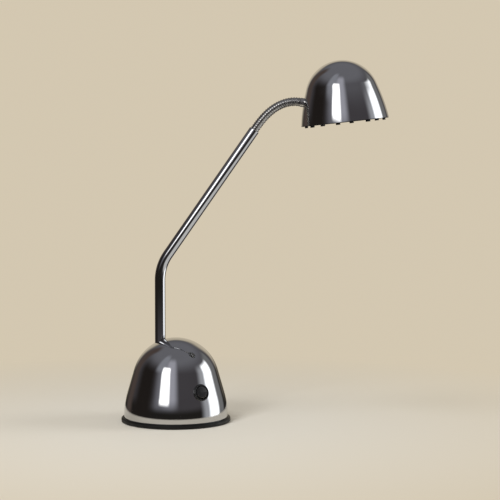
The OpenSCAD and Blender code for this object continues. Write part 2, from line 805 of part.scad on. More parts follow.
module neck_link(i) color([0.6, 0.6, 0.62]) {
    on_link(i) rotate_extrude() link_profile(i == 1);
}

// ---- Shade ----
spigot_r = 5;
ferrule_washer_t = 2.2;
ferrule_washer_rim = 3.5;
ferrule_nut_t = 3;
ferrule_nut_rim = 2.5;    // from the spigot to the nut's corners
bracket_plate_t = 1.2;
bracket_depth = shade_wall + ferrule_washer_t;   // of the socket bracket's outer face
spigot_len = bracket_depth + bracket_plate_t + ferrule_nut_t + 0.8;

// A sleeve with a socket for the last link's ball, and a spigot through the shade
module neck_ferrule() color([0.6, 0.6, 0.62]) {
    difference() {
        at_entry() translate([0, 0, -skirt]) cylinder(r = neck_r, h = ferrule_len - link_slot + skirt);
        in_shade() shade_solid();
        at_entry() translate([0, 0, ferrule_len]) sphere(socket_ball_r);
        at_entry() cylinder(r = neck_bore_r, h = ferrule_len);
    }
    at_entry() difference() {
        translate([0, 0, -spigot_len]) ring(spigot_r, neck_bore_r, spigot_len + ferrule_len / 3);
        translate([0, 0, ferrule_len]) sphere(socket_ball_r);
    }
}

// Hollowed to the shade on one side, flat on the other
module ferrule_washer() color([0.75, 0.75, 0.77]) {
    intersection() {
        at_entry() translate([0, 0, -bracket_depth])
            ring(spigot_r + ferrule_washer_rim, spigot_r + slip_gap, bracket_depth);
        in_shade() shade_solid(shade_wall);
    }
}

module ferrule_nut() color([0.75, 0.75, 0.77]) {
    at_entry() translate([0, 0, -bracket_depth - bracket_plate_t - ferrule_nut_t]) difference() {
        cylinder(r = spigot_r + ferrule_nut_rim, h = ferrule_nut_t, $fn = 6);
        translate([0, 0, -cut]) cylinder(r = spigot_r, h = ferrule_nut_t + 2 * cut);
    }
}

module shade_shell() color([0.72, 0.73, 0.75]) {
    difference() {
        in_shade() bell_shell(shade_bell, shade_wall);
        at_entry() cylinder(r = spigot_r + slip_gap, h = sheet_cut, center = true);
    }
}

ring_lip = 0.9;                       // thickness of the glass ring under the rim
ring_inset = 0.4;                     // the ring's edge lies this far inside the rim's
glass_r = shade_rim_r - glass_room;
ring_wall_r = glass_r + seat_gap;     // inner face of the glass ring's wall
ring_wall_t = 1.6;
ring_wall_h = glass_t + reflector_wall + 1.5;
reflector_mouth_r = glass_r - reflector_lip;
ring_cover = 0.5;                     // how far the ring reaches in past the reflector's mouth
ring_bore_r = reflector_mouth_r - ring_cover;
lug_t = 3.6;                          // thickness of a lug, measured outwards

module glass_ring() color([0.05, 0.05, 0.05]) {
    in_shade() {
        translate([0, 0, -ring_lip]) ring(shade_rim_r - ring_inset, ring_bore_r, ring_lip);
        ring(ring_wall_r + ring_wall_t, ring_wall_r, ring_wall_h);
        around(lug_count, 0, lug_az) intersection() {
            translate([0, 0, -ring_lip - lug_h]) ring(ring_bore_r + lug_t, ring_bore_r, lug_h);
            translate([0, -lug_w / 2, -ring_lip - lug_h]) cube([shade_rim_r, lug_w, lug_h]);
        }
    }
}

module front_glass() color([0.85, 0.9, 0.92, 0.5]) {
    in_shade() cylinder(r = glass_r, h = glass_t);
}

// The reflector's radius at height h: a parabola with its vertex up
function reflector_r(h) = reflector_mouth_r
    * sqrt((reflector_vertex_h - h) / (reflector_vertex_h - glass_t - reflector_wall));

module reflector() color([0.85, 0.86, 0.87]) {
    low = glass_t + reflector_wall;
    high = reflector_vertex_h - (reflector_vertex_h - low) * pow(reflector_hole_r / reflector_mouth_r, 2);
    steps = 14;   // rings of the parabola, closer together towards the crown
    heights = [for (i = [0 : steps]) low + (high - low) * (1 - pow(1 - i / steps, 2))];
    in_shade() {
        rotate_extrude($fn = smooth_fn / 2) polygon(concat(
            [for (h = heights) [reflector_r(h), h]],
            [for (i = [steps : -1 : 0]) [reflector_r(heights[i]) + reflector_wall, heights[i]]]));
        translate([0, 0, glass_t]) ring(glass_r, reflector_mouth_r, reflector_wall);
    }
}

// ---- Lamp holder ----
socket_top_h = reflector_vertex_h + 1;
socket_flat = 1.5;        // how far the socket's two flats are cut in
socket_screw_r = 1;
socket_screw_x = 5.2;
socket_thread = 6;
pin_r = 0.45;
pin_y = 2;
pin_hole_gap = 0.25;
pin_depth = 8;
holder_w = 14;
holder_low = 8;           // how far the bracket reaches down past the spigot's middle

module at_socket_screws(h) {
    in_shade() for (x = [-1, 1]) translate([x * socket_screw_x, 0, h]) children();
}

module lamp_socket() color([0.93, 0.92, 0.88]) {
    difference() {
        in_shade() translate([0, 0, socket_top_h - socket_h]) intersection() {
            cylinder(r = socket_r, h = socket_h);
            translate([-socket_r, -socket_r + socket_flat, 0])
                cube([2 * socket_r, 2 * (socket_r - socket_flat), socket_h]);
        }
        in_shade() for (y = [-1, 1]) translate([0, y * pin_y, socket_top_h - socket_h - cut])
            cylinder(r = pin_r + pin_hole_gap, h = pin_depth + cut);
        at_socket_screws(socket_top_h - socket_thread) cylinder(r = socket_screw_r, h = socket_thread + cut);
    }
}

// A point on a plane that lies a given depth behind the shade's face at the entry, at height h
function behind_entry(depth, h) = let (tilt = bell_tilt(shade_bell, entry_h))
    [depth * cos(tilt) - bell_r(shade_bell, entry_h)
        + (h - entry_h + depth * sin(tilt)) * tan(tilt), h];

// A plate behind the shade's wall, bent over above the reflector to carry the socket
module socket_bracket() color([0.62, 0.63, 0.65]) {
    inner = bracket_depth + bracket_plate_t;
    top = socket_top_h + bracket_plate_t;
    foot = entry_h - holder_low;
    difference() {
        in_shade() rotate([90, 0, 0]) linear_extrude(holder_w, center = true) polygon([
            behind_entry(bracket_depth, foot), behind_entry(bracket_depth, top), [socket_r, top],
            [socket_r, socket_top_h], behind_entry(inner, socket_top_h), behind_entry(inner, foot)]);
        at_entry() translate([0, 0, -2 * spigot_len]) cylinder(r = spigot_r + slip_gap, h = 2 * spigot_len);
        at_socket_screws(socket_top_h - cut) cylinder(r = socket_screw_r, h = bracket_plate_t + 2 * cut);
    }
}

module socket_screws() color([0.75, 0.75, 0.77]) {
    at_socket_screws(socket_top_h + bracket_plate_t) mirror([0, 0, 1])
        screw(socket_screw_r, bracket_plate_t + socket_thread - seat_gap);
}

pinch_h = 7;
pinch_t = 3.2;
capsule_wall = 0.8;
capsule_tip = 0.8;
capsule_top_h = socket_top_h - socket_h - 1;
foil_depth = 2;           // how far the pins come into the bulb

module capsule_outer(inset) {
    translate([0, 0, -pinch_h - capsule_len + capsule_r])
        cylinder(r = capsule_r - inset, h = capsule_len - capsule_r - inset);
    translate([0, 0, -pinch_h - capsule_len + capsule_r]) sphere(capsule_r - inset);
}

module capsule_glass() color([0.9, 0.93, 0.95, 0.4]) {
    in_shade() translate([0, 0, capsule_top_h]) difference() {
        union() {
            capsule_outer(0);
            translate([-pinch_t / 2, -0.9 * capsule_r, -pinch_h - 1])
                cube([pinch_t, 1.8 * capsule_r, pinch_h + 1]);
            translate([0, 0, -pinch_h - capsule_len - capsule_tip])
                cylinder(r1 = capsule_tip / 2, r2 = 1.5 * capsule_tip, h = 1.5 * capsule_tip);
        }
        capsule_outer(capsule_wall);
        for (y = [-1, 1]) translate([0, y * pin_y, -pinch_h - foil_depth])
            cylinder(r = pin_r, h = pinch_h + 2 * foil_depth);
    }
}

module capsule_pins() color([0.75, 0.75, 0.77]) {
    in_shade() for (y = [-1, 1]) translate([0, y * pin_y, capsule_top_h - pinch_h - 2 * foil_depth])
        cylinder(r = pin_r, h = pinch_h + 2 * foil_depth + pin_depth - 1);
}

filament_len = 5;
filament_core_r = 0.5;
filament_r = 0.7;
filament_wire_r = 0.25;
filament_turns = 7;

module capsule_filament() color([0.5, 0.5, 0.52]) {
    below = pinch_h + 2 * foil_depth + filament_r + filament_wire_r + slip_gap;
    in_shade() translate([0, 0, capsule_top_h - below]) rotate([90, 0, 0]) {
        cylinder(r = filament_core_r, h = filament_len, center = true);
        for (i = [1 : filament_turns]) translate([0, 0, filament_len * (i / (filament_turns + 1) - 0.5)])
            rotate_extrude() translate([filament_r, 0]) circle(filament_wire_r, $fn = 16);
    }
}

base_dome();
foot_ring();
base_plate();
ballast();
ballast_screws();
dome_brackets();
dome_screws();
transformer_core();
coil_former();
primary_coil();
secondary_coil();
transformer_strap();
strap_screws();
terminal_block();
terminal_tubes();
terminal_screws();
switch_body();
switch_terminals();
switch_rocker();
cord_gland();
gland_nut();
bearing_sleeve();
thrust_washer();
arm_tube();
foot_collar();
stop_pin();
arm_lead();
neck_plug();
neck_ferrule();
ferrule_washer();
ferrule_nut();
shade_shell();
reflector();
lamp_socket();
socket_bracket();
socket_screws();
capsule_glass();
capsule_filament();
capsule_pins();
front_glass();
glass_ring();
for (i = [1 : neck_links]) neck_link(i);
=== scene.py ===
from math import acos, asin, atan2, cos, hypot, pi, radians, sin, sqrt, tan

import bmesh
import bpy
from bpy.props import FloatProperty, FloatVectorProperty, IntProperty, PointerProperty
from bpy.types import Operator, Panel, PropertyGroup
from mathutils import Matrix, Vector


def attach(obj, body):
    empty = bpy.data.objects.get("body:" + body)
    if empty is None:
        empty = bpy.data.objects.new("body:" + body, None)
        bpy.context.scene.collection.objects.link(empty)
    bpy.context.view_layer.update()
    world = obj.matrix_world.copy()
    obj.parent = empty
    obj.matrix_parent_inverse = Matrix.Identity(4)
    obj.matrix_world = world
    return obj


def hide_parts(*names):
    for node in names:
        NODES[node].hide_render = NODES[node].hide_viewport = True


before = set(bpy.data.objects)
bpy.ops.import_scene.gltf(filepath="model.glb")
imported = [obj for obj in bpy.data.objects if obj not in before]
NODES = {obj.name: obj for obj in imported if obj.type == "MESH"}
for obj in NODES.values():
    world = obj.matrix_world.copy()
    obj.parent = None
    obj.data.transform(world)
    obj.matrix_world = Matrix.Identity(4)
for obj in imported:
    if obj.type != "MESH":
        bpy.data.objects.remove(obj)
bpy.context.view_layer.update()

bl_info = {
    "name": "Gooseneck desk lamp",
    "version": (1, 0, 0),
    "blender": (4, 5, 0),
    "location": "3D View > Sidebar > Desk Lamp",
    "description": "Builds the looks of a chrome desk lamp round its solid frame",
    "category": "Object",
}

MM = 0.001
LINKS = 12


# ---- Settings ----

def length(name, description, millimetres, low=0.0, high=1000.0):
    return FloatProperty(name=name, description=description, default=millimetres * MM,
                         min=low * MM, max=high * MM, unit="LENGTH", precision=5)


def angle(name, description, value):
    return FloatProperty(name=name, description=description, default=radians(value),
                         subtype="ANGLE", unit="ROTATION")


def colour(name, description, red, green, blue):
    return FloatVectorProperty(name=name, description=description, default=(red, green, blue),
                               min=0.0, max=1.0, size=3, subtype="COLOR")


class BaseSettings(PropertyGroup):
    foot_r: length("Dome foot radius", "Outer radius of the dome at its foot", 69.5)
    band_z: length("Dome band height", "Height at which the long side curve starts", 8)
    top_z: length("Dome top height", "Height of the dome's top above the table", 112.5)
    tuck: length("Dome tuck", "How far the foot lies inside the line of the side", 4.52)
    side_r: length("Dome side radius", "Radius of the long curve at the foot of the side", 117)
    lean: angle("Dome lean", "Lean of the straight stretch of the side", 16.2)
    wall: length("Dome wall", "Sheet thickness of the dome", 1.2)
    ring_r: length("Foot ring radius", "Outer radius of the rubber foot ring", 73)
    ring_h: length("Foot ring height", "Height of the rubber foot ring", 6.3)
    ring_floor: length("Foot ring floor", "Thickness of the ring under the dome's edge", 2.5)
    ring_lap: length("Foot ring lap", "How far the ring reaches in under the dome", 5.3)


class SwitchSettings(PropertyGroup):
    height: length("Switch height", "Height of the switch above the table", 46)
    direction: angle("Switch direction", "Direction of the switch round the dome", -56)
    bezel_r: length("Bezel radius", "Outer radius of the switch bezel", 11.25)
    bezel_t: length("Bezel thickness", "How far the bezel stands out from the dome", 1.8)
    body_r: length("Switch body radius", "Radius of the switch behind the dome", 9.9)
    depth: length("Switch depth", "Depth of the switch behind the dome", 15)
    rocker_r: length("Rocker radius", "Radius of the rocker, measured from its pivot", 8.6)
    slope: angle("Rocker slope", "Slope of each half of the rocker's face", 9)
    gland_height: length("Gland height", "Height of the cord gland above the table", 26)
    gland_direction: angle("Gland direction", "Direction of the cord gland round the dome", 100)
    gland_bore_r: length("Gland bore radius", "Radius of the gland's bore", 3.6)
    gland_thread_r: length("Gland thread radius", "Radius of the gland's thread", 5.4)
    gland_flange_r: length("Gland flange radius", "Radius of the gland's flange", 8)


class ArmSettings(PropertyGroup):
    across: length("Arm place", "Where the upright stretch stands", -20.8, -1000)
    foot_z: length("Tube foot height", "Height of the tube's lower end", 7.5)
    corner_z: length("Corner height", "Height of the corner where the two stretches would meet", 208.6)
    slant: length("Upper stretch", "Length of the upper stretch from that corner", 220.7)
    lean: angle("Arm lean", "Lean of the upper stretch from upright", 34.8)
    bend_r: length("Bend radius", "Bend radius of the tube's middle line", 61)
    tube_r: length("Tube radius", "Outer radius of the tube", 7)
    bore_r: length("Tube bore radius", "Inner radius of the tube", 6)
    lead_z: length("Lead hole height", "Height of the hole where the lead leaves the tube", 60)
    lead_r: length("Lead radius", "Radius of the lead", 2.6)


class NeckSettings(PropertyGroup):
    reach: length("Neck length", "Length of the wound neck", 75)
    end_heading: angle("Neck end direction", "Direction of the neck's far end above level", -9.5)
    growth: FloatProperty(name="Neck growth", default=1.7, min=1.0, max=3.0,
                          description="How much faster the neck bends towards its far end")
    outer_r: length("Neck radius", "Outer radius of the neck over its round wire", 6)
    wire_r: length("Wire radius", "Radius of the round wire", 0.98)
    valley_r: length("Valley radius", "Radius of the neck over the wedge wire between the turns", 5.3)
    bore_r: length("Neck bore radius", "Radius of the neck's bore", 3.2)
    turns: IntProperty(name="Turns per link", default=2, min=1, max=4,
                       description="Turns of wire in each of the twelve links")


class ShadeSettings(PropertyGroup):
    rim_r: length("Rim radius", "Outer radius of the shade at its rim", 58.5)
    tall: length("Shade height", "Height of the shade", 81.6)
    tuck: length("Shade tuck", "How far the rim lies inside the line of the side", 4)
    side_r: length("Shade side radius", "Radius of the long curve down to the rim", 220)
    lean: angle("Shade lean", "Lean of the shade's side below its cap", 18.5)
    wall: length("Shade wall", "Sheet thickness of the shade", 1)
    entry_h: length("Entry height", "Height above the rim at which the neck enters", 31)
    ferrule: length("Ferrule length", "Length of the plain ferrule outside the shade", 4.6)
    glass_r: length("Glass radius", "Radius of the front glass", 54.2)
    glass_t: length("Glass thickness", "Thickness of the front glass", 2.5)
    lugs: IntProperty(name="Lugs", default=8, min=3, max=12,
                      description="Number of lugs under the glass ring")
    lug_turn: angle("First lug", "Direction of the first lug", 32)


class FinishSettings(PropertyGroup):
    chrome: colour("Chrome", "Tint of the bright chrome", 0.56, 0.56, 0.565)
    wire: colour("Wound wire", "Tint of the neck's wire", 0.50, 0.49, 0.47)
    zinc: colour("Zinc plate", "Tint of the zinc plated steel", 0.52, 0.53, 0.54)
    rubber: colour("Rubber", "Colour of the foot ring", 0.006, 0.006, 0.006)
    plastic: colour("Black plastic", "Colour of the switch, gland and glass ring", 0.008, 0.008, 0.009)


class StageSettings(PropertyGroup):
    backdrop: colour("Backdrop", "Colour of the backdrop", 0.655, 0.575, 0.440)
    floor: colour("Floor", "Colour of the floor round the lamp", 0.72, 0.70, 0.65)
    studio: colour("Studio", "Colour of the dark studio that the chrome reflects", 0.078, 0.072, 0.078)


# ---- The lamp's own lines ----

class Bell:
    """A long side curve, a straight lean and a round cap, all tangent, standing on its foot."""

    def __init__(self, foot_r, lean, side_r, tuck, tall):
        cap_r = (foot_r * cos(lean) + tuck - tall * sin(lean)) / (1 - sin(lean))
        self.lean, self.side_r, self.cap_r, self.tall = lean, side_r, cap_r, tall
        out, up = Vector((cos(lean), sin(lean))), Vector((-sin(lean), cos(lean)))
        self.cap = Vector((0, tall - cap_r))
        gap = out.dot(self.cap - Vector((foot_r, 0))) + cap_r
        self.side = out * (out.dot(self.cap) + cap_r - side_r) \
            + up * (up.dot(Vector((foot_r, 0))) + sqrt(2 * side_r * gap - gap * gap))
        self.out = out

    def low(self, depth=0.0):
        return self.side + (self.side_r - depth) * self.out

    def high(self, depth=0.0):
        return self.cap + (self.cap_r - depth) * self.out

    def radius(self, z, depth=0.0):
        low, high = self.low(depth), self.high(depth)
        if z < low.y:
            return self.side.x + sqrt((self.side_r - depth) ** 2 - (z - self.side.y) ** 2)
        if z < high.y:
            return low.x + (high.x - low.x) * (z - low.y) / (high.y - low.y)
        return sqrt(max((self.cap_r - depth) ** 2 - (z - self.cap.y) ** 2, 0))

    def tilt(self, z):
        if z < self.low().y:
            return asin((z - self.side.y) / self.side_r)
        return self.lean if z < self.high().y else asin((z - self.cap.y) / self.cap_r)

    def outward(self, r, z, depth=0.0):
        """The direction straight out of the sheet at a point of it."""
        if z < self.low(depth).y:
            d = Vector((r, z)) - self.side
        else:
            d = self.out if z < self.high(depth).y else Vector((r, z)) - self.cap
        return d.normalized()

    def draw(self, bm, depth=0.0):
        """Adds the outline to a profile, from foot to crown, and gives its foot."""
        foot = bm.verts.new((self.radius(0, depth), 0, 0))
        first = atan2(-self.side.y, foot.co.x - self.side.x)
        knee = arc(bm, foot, self.side, self.lean - first, 18)
        shoulder = line(bm, knee, *self.high(depth), pieces=5)
        crown = arc(bm, shoulder, self.cap, pi / 2 - self.lean, 34)
        crown.co.x = 0
        return foot


def dome_bell(s):
    return Bell(s.foot_r, s.lean, s.side_r, s.tuck, s.top_z - s.band_z)


def shade_bell(s):
    return Bell(s.rim_r, s.lean, s.side_r, s.tuck, s.tall)


def on_bell(bell, z, direction, lift=0.0):
    """Where a piece stands on a bell: +Z points out, -X up the face."""
    return Matrix.Rotation(direction, 4, "Z") @ Matrix.Translation((bell.radius(z), 0, z + lift)) \
        @ Matrix.Rotation(pi / 2 - bell.tilt(z), 4, "Y")


def on_dome(base, height, direction):
    """Where a piece stands on the dome, at a height above the table."""
    return on_bell(dome_bell(base), height - base.band_z, direction, base.band_z)


def arm_end(arm):
    return Vector((arm.across + arm.slant * sin(arm.lean), arm.corner_z + arm.slant * cos(arm.lean)))


def heading(scene, i):
    """Direction of the neck above level after i links."""
    start = pi / 2 - scene.lamp_arm.lean
    neck = scene.lamp_neck
    return start - (start - neck.end_heading) * (i / LINKS) ** neck.growth


def hinge_at(scene, i):
    p = arm_end(scene.lamp_arm)
    for k in range(1, i + 1):
        way = (heading(scene, k - 1) + heading(scene, k)) / 2
        p = p + scene.lamp_neck.reach / LINKS * Vector((cos(way), sin(way)))
    return p


class NeckLine:
    """The neck's middle line: an arc over each link, from hinge to hinge."""

    def __init__(self, scene):
        self.link_len = scene.lamp_neck.reach / LINKS
        self.ways = [heading(scene, i) for i in range(LINKS + 1)]
        self.hinges = [hinge_at(scene, i) for i in range(LINKS + 1)]

    def frame(self, s):
        """A place at a distance s along the neck: +Z runs along it."""
        i = min(max(int(s / self.link_len), 0), LINKS - 1)
        share = s / self.link_len - i
        turn = self.ways[i] - self.ways[i + 1]
        chord = self.link_len * sin(turn * share / 2) / sin(turn / 2)
        way = self.ways[i] - turn * share / 2
        p = self.hinges[i] + chord * Vector((cos(way), sin(way)))
        along = self.ways[i] - turn * share
        return Matrix.Translation((p.x, 0, p.y)) @ Matrix.Rotation(pi / 2 - along, 4, "Y")


def shade_frame(scene):
    """The shade's own frame: its origin in the middle of the rim, +Z to the crown."""
    shade = scene.lamp_shade
    bell = shade_bell(shade)
    way = scene.lamp_neck.end_heading
    p = hinge_at(scene, LINKS) + shade.ferrule * Vector((cos(way), sin(way)))
    return Matrix.Translation((p.x, 0, p.y)) @ Matrix.Rotation(-way - bell.tilt(shade.entry_h), 4, "Y") \
        @ Matrix.Translation((bell.radius(shade.entry_h), 0, -shade.entry_h))


def entry_frame(scene):
    """Where the neck enters the shade: +Z points back along the neck."""
    shade = scene.lamp_shade
    return shade_frame(scene) @ on_bell(shade_bell(shade), shade.entry_h, pi)


# ---- Shaping ----

def arc(bm, vert, centre, turn, pieces):
    """Sweeps a profile's last corner round a centre in the XZ plane, and gives the arc's far end."""
    made = bmesh.ops.spin(bm, geom=[vert], cent=(centre[0], 0, centre[1]), axis=(0, -1, 0),
                          angle=turn, steps=pieces)
    return only(made["geom_last"], bmesh.types.BMVert)[0]


def only(geom, kind):
    return [g for g in geom if isinstance(g, kind)]


def line(bm, vert, x, z, pieces=1):
    """Draws a profile on from its last corner to a point, in equal pieces."""
    start = vert.co.copy()
    for k in range(1, pieces + 1):
        vert = bmesh.ops.extrude_vert_indiv(bm, verts=[vert])["verts"][0]
        vert.co = start.lerp(Vector((x, 0, z)), k / pieces)
    return vert


def path(bm, points, closed=True):
    """A profile of straight pieces through points given as (x, z)."""
    first = vert = bm.verts.new((points[0][0], 0, points[0][1]))
    for x, z in points[1:]:
        vert = line(bm, vert, x, z)
    if closed:
        bm.edges.new((vert, first))
    return first, vert


def turned(bm, steps):
    """Turns the whole profile once round the Z axis."""
    bmesh.ops.spin(bm, geom=bm.verts[:] + bm.edges[:], cent=(0, 0, 0), axis=(0, 0, 1),
                   angle=2 * pi, steps=steps, use_merge=True)
    bmesh.ops.remove_doubles(bm, verts=bm.verts, dist=1e-7)
    bmesh.ops.recalc_face_normals(bm, faces=bm.faces)


def soften(bm, width, segments=2, sharper=30):
    """Rounds every edge that is sharper than an angle in degrees."""
    edges = [e for e in bm.edges if len(e.link_faces) == 2 and e.calc_face_angle(0) > radians(sharper)]
    bmesh.ops.bevel(bm, geom=edges, offset=width, offset_type="OFFSET", affect="EDGES",
                    segments=segments, profile=0.5, material=-1, clamp_overlap=True)


def round_corners(bm, chosen, width, segments):
    """Rounds the corners of a profile that a test of their place chooses."""
    bmesh.ops.bevel(bm, geom=[v for v in bm.verts if chosen(v.co)], offset=width, offset_type="OFFSET",
                    affect="VERTICES", segments=segments, profile=0.5, material=-1)


def rod(bm, r, low, high, steps=48):
    """An upright solid round bar."""
    bmesh.ops.create_cone(bm, cap_ends=True, segments=steps, radius1=r, radius2=r, depth=high - low,
                          matrix=Matrix.Translation((0, 0, (low + high) / 2)))


def block(bm, low, high):
    size = [b - a for a, b in zip(low, high)]
    middle = [(a + b) / 2 for a, b in zip(low, high)]
    bmesh.ops.create_cube(bm, size=1, matrix=Matrix.Translation(middle) @ Matrix.Diagonal((*size, 1)))


def piece_from(name, bm, place=None, sharper=35):
    """A new object at the origin whose mesh lies where it belongs."""
    if place is not None:
        bmesh.ops.transform(bm, matrix=place, verts=bm.verts)
    mesh = bpy.data.meshes.new(name)
    bm.to_mesh(mesh)
    bm.free()
    mesh.shade_smooth()
    mesh.set_sharp_from_angle(angle=radians(sharper))
    piece = bpy.data.objects.new(name, mesh)
    bpy.context.scene.collection.objects.link(piece)
    return piece


def cut(piece, *tools, operation="DIFFERENCE"):
    """Cuts other shapes out of a piece, and removes them."""
    for tool in tools:
        step = piece.modifiers.new("cut", "BOOLEAN")
        step.operation, step.solver, step.object = operation, "EXACT", tool
    bpy.context.view_layer.update()
    made = bpy.data.meshes.new_from_object(piece.evaluated_get(bpy.context.evaluated_depsgraph_get()))
    piece.modifiers.clear()
    made.name = piece.name
    piece.data = made
    for tool in tools:
        bpy.data.objects.remove(tool)
    return piece


def fit_sheet(piece, bell, wall, place):
    """Shades a cut sheet as the smooth turned sheet that it is."""
    mesh = piece.data
    back, turn = place.inverted(), place.to_3x3()
    mesh.shade_smooth()
    face_way = [p.normal.copy() for p in mesh.polygons]
    ways = []
    for p in mesh.polygons:
        for k in p.loop_indices:
            at = back @ mesh.vertices[mesh.loops[k].vertex_index].co
            r = hypot(at.x, at.y)
            depth = 0.0 if abs(bell.radius(at.z) - r) < wall / 2 or at.z > bell.tall - wall / 2 else wall
            flat = bell.outward(r, at.z, depth)
            if r > 1e-6:
                round_way = turn @ Vector((flat.x * at.x / r, flat.x * at.y / r, flat.y))
            else:
                round_way = turn @ Vector((0, 0, 1))
            lies = round_way.dot(face_way[p.index])
            ways.append(round_way if lies > 0.9 else -round_way if lies < -0.9 else face_way[p.index])
    mesh.normals_split_custom_set([w.normalized() for w in ways])


def settle(piece, body, slot, look, *stands_for):
    """Gives a piece its finish and the body that it moves with."""
    piece.data.materials.clear()
    piece.data.materials.append(finish(look))
    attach(piece, body)
    if stands_for:
        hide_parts(*stands_for)


# ---- Finishes ----

def new_finish(name, metallic=0.0):
    made = bpy.data.materials.new(name)
    made.use_nodes = True
    shader = made.node_tree.nodes["Principled BSDF"]
    shader.inputs["Metallic"].default_value = metallic
    return made, made.node_tree, shader


def node(tree, kind, **values):
    made = tree.nodes.new(kind)
    for key, value in values.items():
        if key in made.inputs:
            made.inputs[key].default_value = value
        else:
            setattr(made, key, value)
    return made


def grain(tree, scale, detail=3.0, stretch=None):
    """Noise in the object's own space, in cells of 1/scale metres."""
    at = tree.nodes.new("ShaderNodeTexCoord").outputs["Object"]
    if stretch:
        mapped = node(tree, "ShaderNodeMapping", Scale=stretch)
        tree.links.new(at, mapped.inputs["Vector"])
        at = mapped.outputs["Vector"]
    noise = node(tree, "ShaderNodeTexNoise", Scale=scale, Detail=detail, Roughness=0.5)
    tree.links.new(at, noise.inputs["Vector"])
    return noise.outputs["Fac"]


def spread(tree, value, low, high, start=0.3, end=0.7, kind="LINEAR"):
    """Maps a value between start and end to one between low and high."""
    made = node(tree, "ShaderNodeMapRange", interpolation_type=kind)
    for key, number in zip(("From Min", "From Max", "To Min", "To Max"), (start, end, low, high)):
        made.inputs[key].default_value = number
    tree.links.new(value, made.inputs["Value"])
    return made.outputs["Result"]


def shades(tree, value, dark, light, start=0.3, end=0.7):
    made = tree.nodes.new("ShaderNodeValToRGB")
    made.color_ramp.elements[0].position, made.color_ramp.elements[1].position = start, end
    made.color_ramp.elements[0].color, made.color_ramp.elements[1].color = (*dark, 1), (*light, 1)
    tree.links.new(value, made.inputs["Fac"])
    return made.outputs["Color"]


def relief(tree, shader, value, strength, depth):
    made = node(tree, "ShaderNodeBump", Strength=strength, Distance=depth)
    tree.links.new(value, made.inputs["Height"])
    tree.links.new(made.outputs["Normal"], shader.inputs["Normal"])


def scaled(tint, by):
    return tuple(min(c * by, 1.0) for c in tint)


def feed(tree, shader, tint, rough):
    tree.links.new(tint, shader.inputs["Base Color"])
    tree.links.new(rough, shader.inputs["Roughness"])


def metal(name, tint, low, high, cell, variation, bump=0.0):
    """A bare or plated metal: its tint and roughness drift over the surface."""
    made, tree, shader = new_finish(name, 1.0)
    broad, fine = grain(tree, cell), grain(tree, cell * 6, 5.0)
    feed(tree, shader, shades(tree, broad, scaled(tint, 1 - variation), scaled(tint, 1 + variation)),
         spread(tree, fine, low, high))
    if bump:
        relief(tree, shader, fine, bump, 0.00002)
    return made


def moulded(name, tint, low, high, cell, bump, depth=0.00004, coat=0.0, shine=0.5):
    """A moulded or cast surface, such as plastic, rubber, iron or glaze, with a fine skin."""
    made, tree, shader = new_finish(name)
    broad, fine = grain(tree, cell / 20), grain(tree, cell, 4.0)
    feed(tree, shader, shades(tree, broad, scaled(tint, 0.85), scaled(tint, 1.15)),
         spread(tree, broad, low, high))
    shader.inputs["Coat Weight"].default_value = coat
    shader.inputs["Specular IOR Level"].default_value = shine
    relief(tree, shader, fine, bump, depth)
    return made


def chrome(name, tint):
    """Bright chrome with faint wiping marks."""
    made, tree, shader = new_finish(name, 1.0)
    smear, wipe, ripple = grain(tree, 14), grain(tree, 60, 6.0, stretch=(1, 1, 0.35)), grain(tree, 22, 1.0)
    feed(tree, shader, shades(tree, smear, scaled(tint, 0.97), scaled(tint, 1.03)),
         spread(tree, wipe, 0.015, 0.05, 0.35, 0.75))
    relief(tree, shader, ripple, 0.02, 0.0004)
    return made


def clear(name, tint, low, high, frosted=False):
    made, tree, shader = new_finish(name)
    shader.inputs["Transmission Weight"].default_value = 1.0
    shader.inputs["IOR"].default_value = 1.5
    broad, fine = grain(tree, 40), grain(tree, 1500 if frosted else 200, 2.0)
    feed(tree, shader, shades(tree, broad, scaled(tint, 0.98), tint), spread(tree, fine, low, high))
    relief(tree, shader, fine, 0.3 if frosted else 0.02, 0.00003)
    return made


def lined(name, direction, scale, dark, light, *, wander, start, metallic, cell, low, high, bump, depth):
    """Fine even lines, 0.314/scale metres apart: the edges of core sheets, or the turns of a coil, whose
    dark bands are painted shade in the grooves between the turns.
    """
    made, tree, shader = new_finish(name, metallic)
    at = tree.nodes.new("ShaderNodeTexCoord").outputs["Object"]
    lines = node(tree, "ShaderNodeTexWave", Scale=scale, Distortion=wander, bands_direction=direction)
    tree.links.new(at, lines.inputs["Vector"])
    feed(tree, shader, shades(tree, lines.outputs["Fac"], dark, light, start, 0.9),
         spread(tree, grain(tree, cell), low, high))
    relief(tree, shader, lines.outputs["Fac"], bump, depth)
    return made


FINISHES = {}


